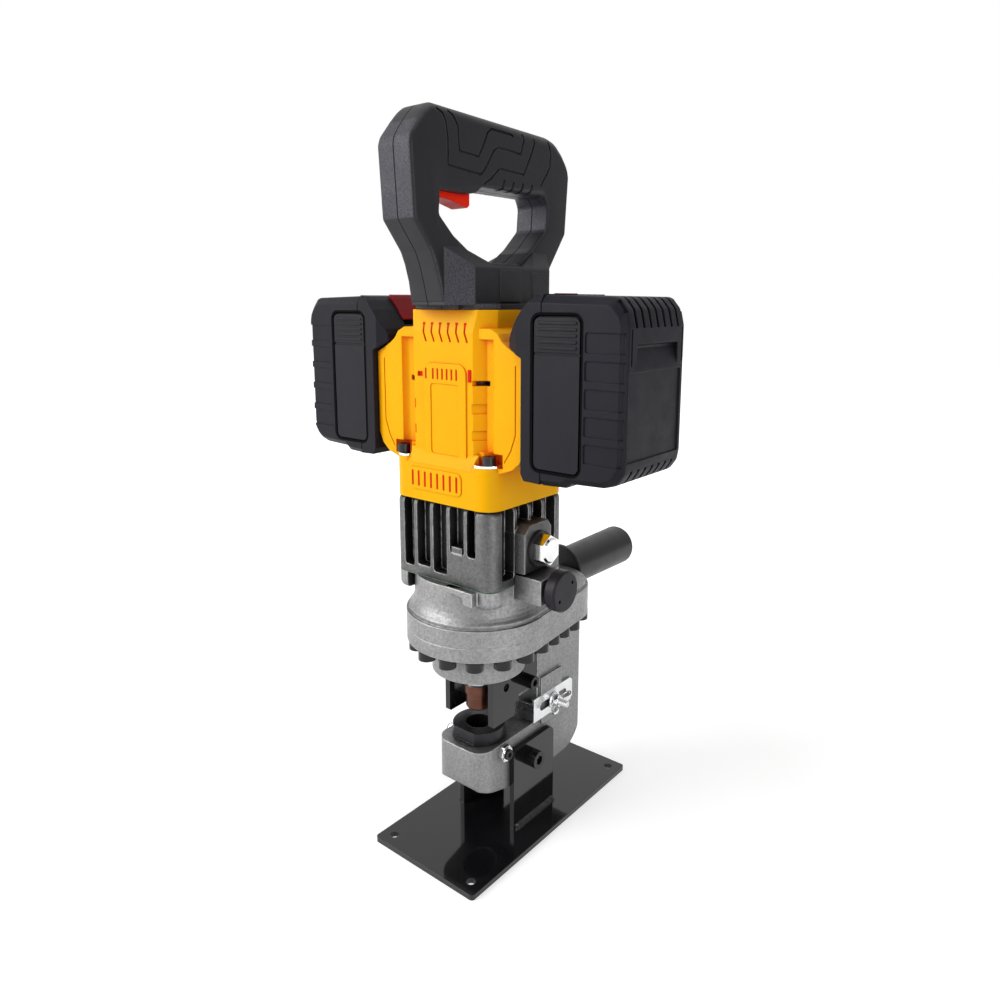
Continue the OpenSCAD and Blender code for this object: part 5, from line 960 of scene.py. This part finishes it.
# -------------------- stage
AMBIENT = 0.42                           # light of the world on the object
FLOOR_ALBEDO, FLOOR_HALF = 0.62, 5
DARK_SIDE = (0.97, 0.12, -0.2)           # glossy rays see a studio that is darker on this side
LAMPS = (("key", (-1.0, -1.5, 1.1), (1.0, 1.5), 30), ("fill", (1.8, -0.5, 0.45), (1.0, 1.2), 13),
         ("top", (0.1, 0.1, 2.0), (1.4, 1.4), 8))    # name, place, size, watts
LAMP_TARGET = Vector((0, 0, 0.25))

def make_floor():
    """A pale floor that keeps the shadow; the camera and glossy rays see it fade to white."""
    me = bpy.data.meshes.new("floor")
    square = rect(-FLOOR_HALF, FLOOR_HALF, -FLOOR_HALF, FLOOR_HALF)
    me.from_pydata([(x, y, 0) for x, y in square], [], [(0, 1, 2, 3)])
    fl = bpy.data.objects.new("floor", me)
    bpy.context.scene.collection.objects.link(fl)
    fl.location.z = CAD_BOX[0][2] - 0.0002
    material = bpy.data.materials.new("floor")
    material.use_nodes = True
    t = Tree(material.node_tree)
    shader = t.tree.nodes["Principled BSDF"]
    shader.inputs["Base Color"].default_value = (FLOOR_ALBEDO, FLOOR_ALBEDO, FLOOR_ALBEDO, 1)
    shader.inputs["Roughness"].default_value = 0.9
    rays = t.add("ShaderNodeLightPath").outputs
    length = t.add("ShaderNodeVectorMath", operation="LENGTH")
    t.put(length.inputs[0], t.add("ShaderNodeTexCoord").outputs["Object"])
    far = t.maprange(length.outputs["Value"], 0.25, 1.1, 0.55, 1.0)
    seen = t.math("MAXIMUM", rays["Is Camera Ray"], rays["Is Glossy Ray"])
    glow = t.add("ShaderNodeEmission")
    t.put(glow.inputs["Strength"], t.math("MULTIPLY", seen, far))
    both = t.add("ShaderNodeAddShader")
    t.put(both.inputs[0], shader.outputs[0])
    t.put(both.inputs[1], glow.outputs[0])
    t.put(t.tree.nodes["Material Output"].inputs["Surface"], both.outputs[0])
    me.materials.append(material)

def make_world():
    """White for the camera, a one-sided studio for glossy rays, and soft ambient light for the rest."""
    world = bpy.data.worlds.new("world")
    bpy.context.scene.world = world
    world.use_nodes = True
    t = Tree(world.node_tree)
    background = t.tree.nodes["Background"]
    background.inputs["Color"].default_value = (1, 1, 1, 1)
    rays = t.add("ShaderNodeLightPath").outputs
    side = t.add("ShaderNodeVectorMath", operation="DOT_PRODUCT")
    side.inputs[1].default_value = DARK_SIDE
    t.put(side.inputs[0], t.add("ShaderNodeTexCoord").outputs["Generated"])
    dark = t.maprange(side.outputs["Value"], -0.15, 0.75, 1.0, 0.38)
    white = t.math("MAXIMUM", rays["Is Camera Ray"], rays["Is Transmission Ray"])
    seen = t.math("MAXIMUM", white, t.math("MULTIPLY", rays["Is Glossy Ray"], dark))
    ambient = t.math("MULTIPLY", t.maprange(dark, 0.38, 1.0, 0.7, 1.0), AMBIENT)
    t.put(background.inputs["Strength"], t.math("MAXIMUM", seen, ambient))

def make_lamps():
    for name, place, size, watts in LAMPS:
        lamp = bpy.data.lights.new(name, "AREA")
        lamp.shape, lamp.energy = "RECTANGLE", watts
        lamp.size, lamp.size_y = size
        ob = bpy.data.objects.new(name, lamp)
        bpy.context.scene.collection.objects.link(ob)
        ob.location = place
        ob.rotation_euler = (LAMP_TARGET - Vector(place)).to_track_quat("-Z", "Y").to_euler()

make_floor()
make_world()
make_lamps()
bpy.context.scene.view_settings.view_transform = "Standard"
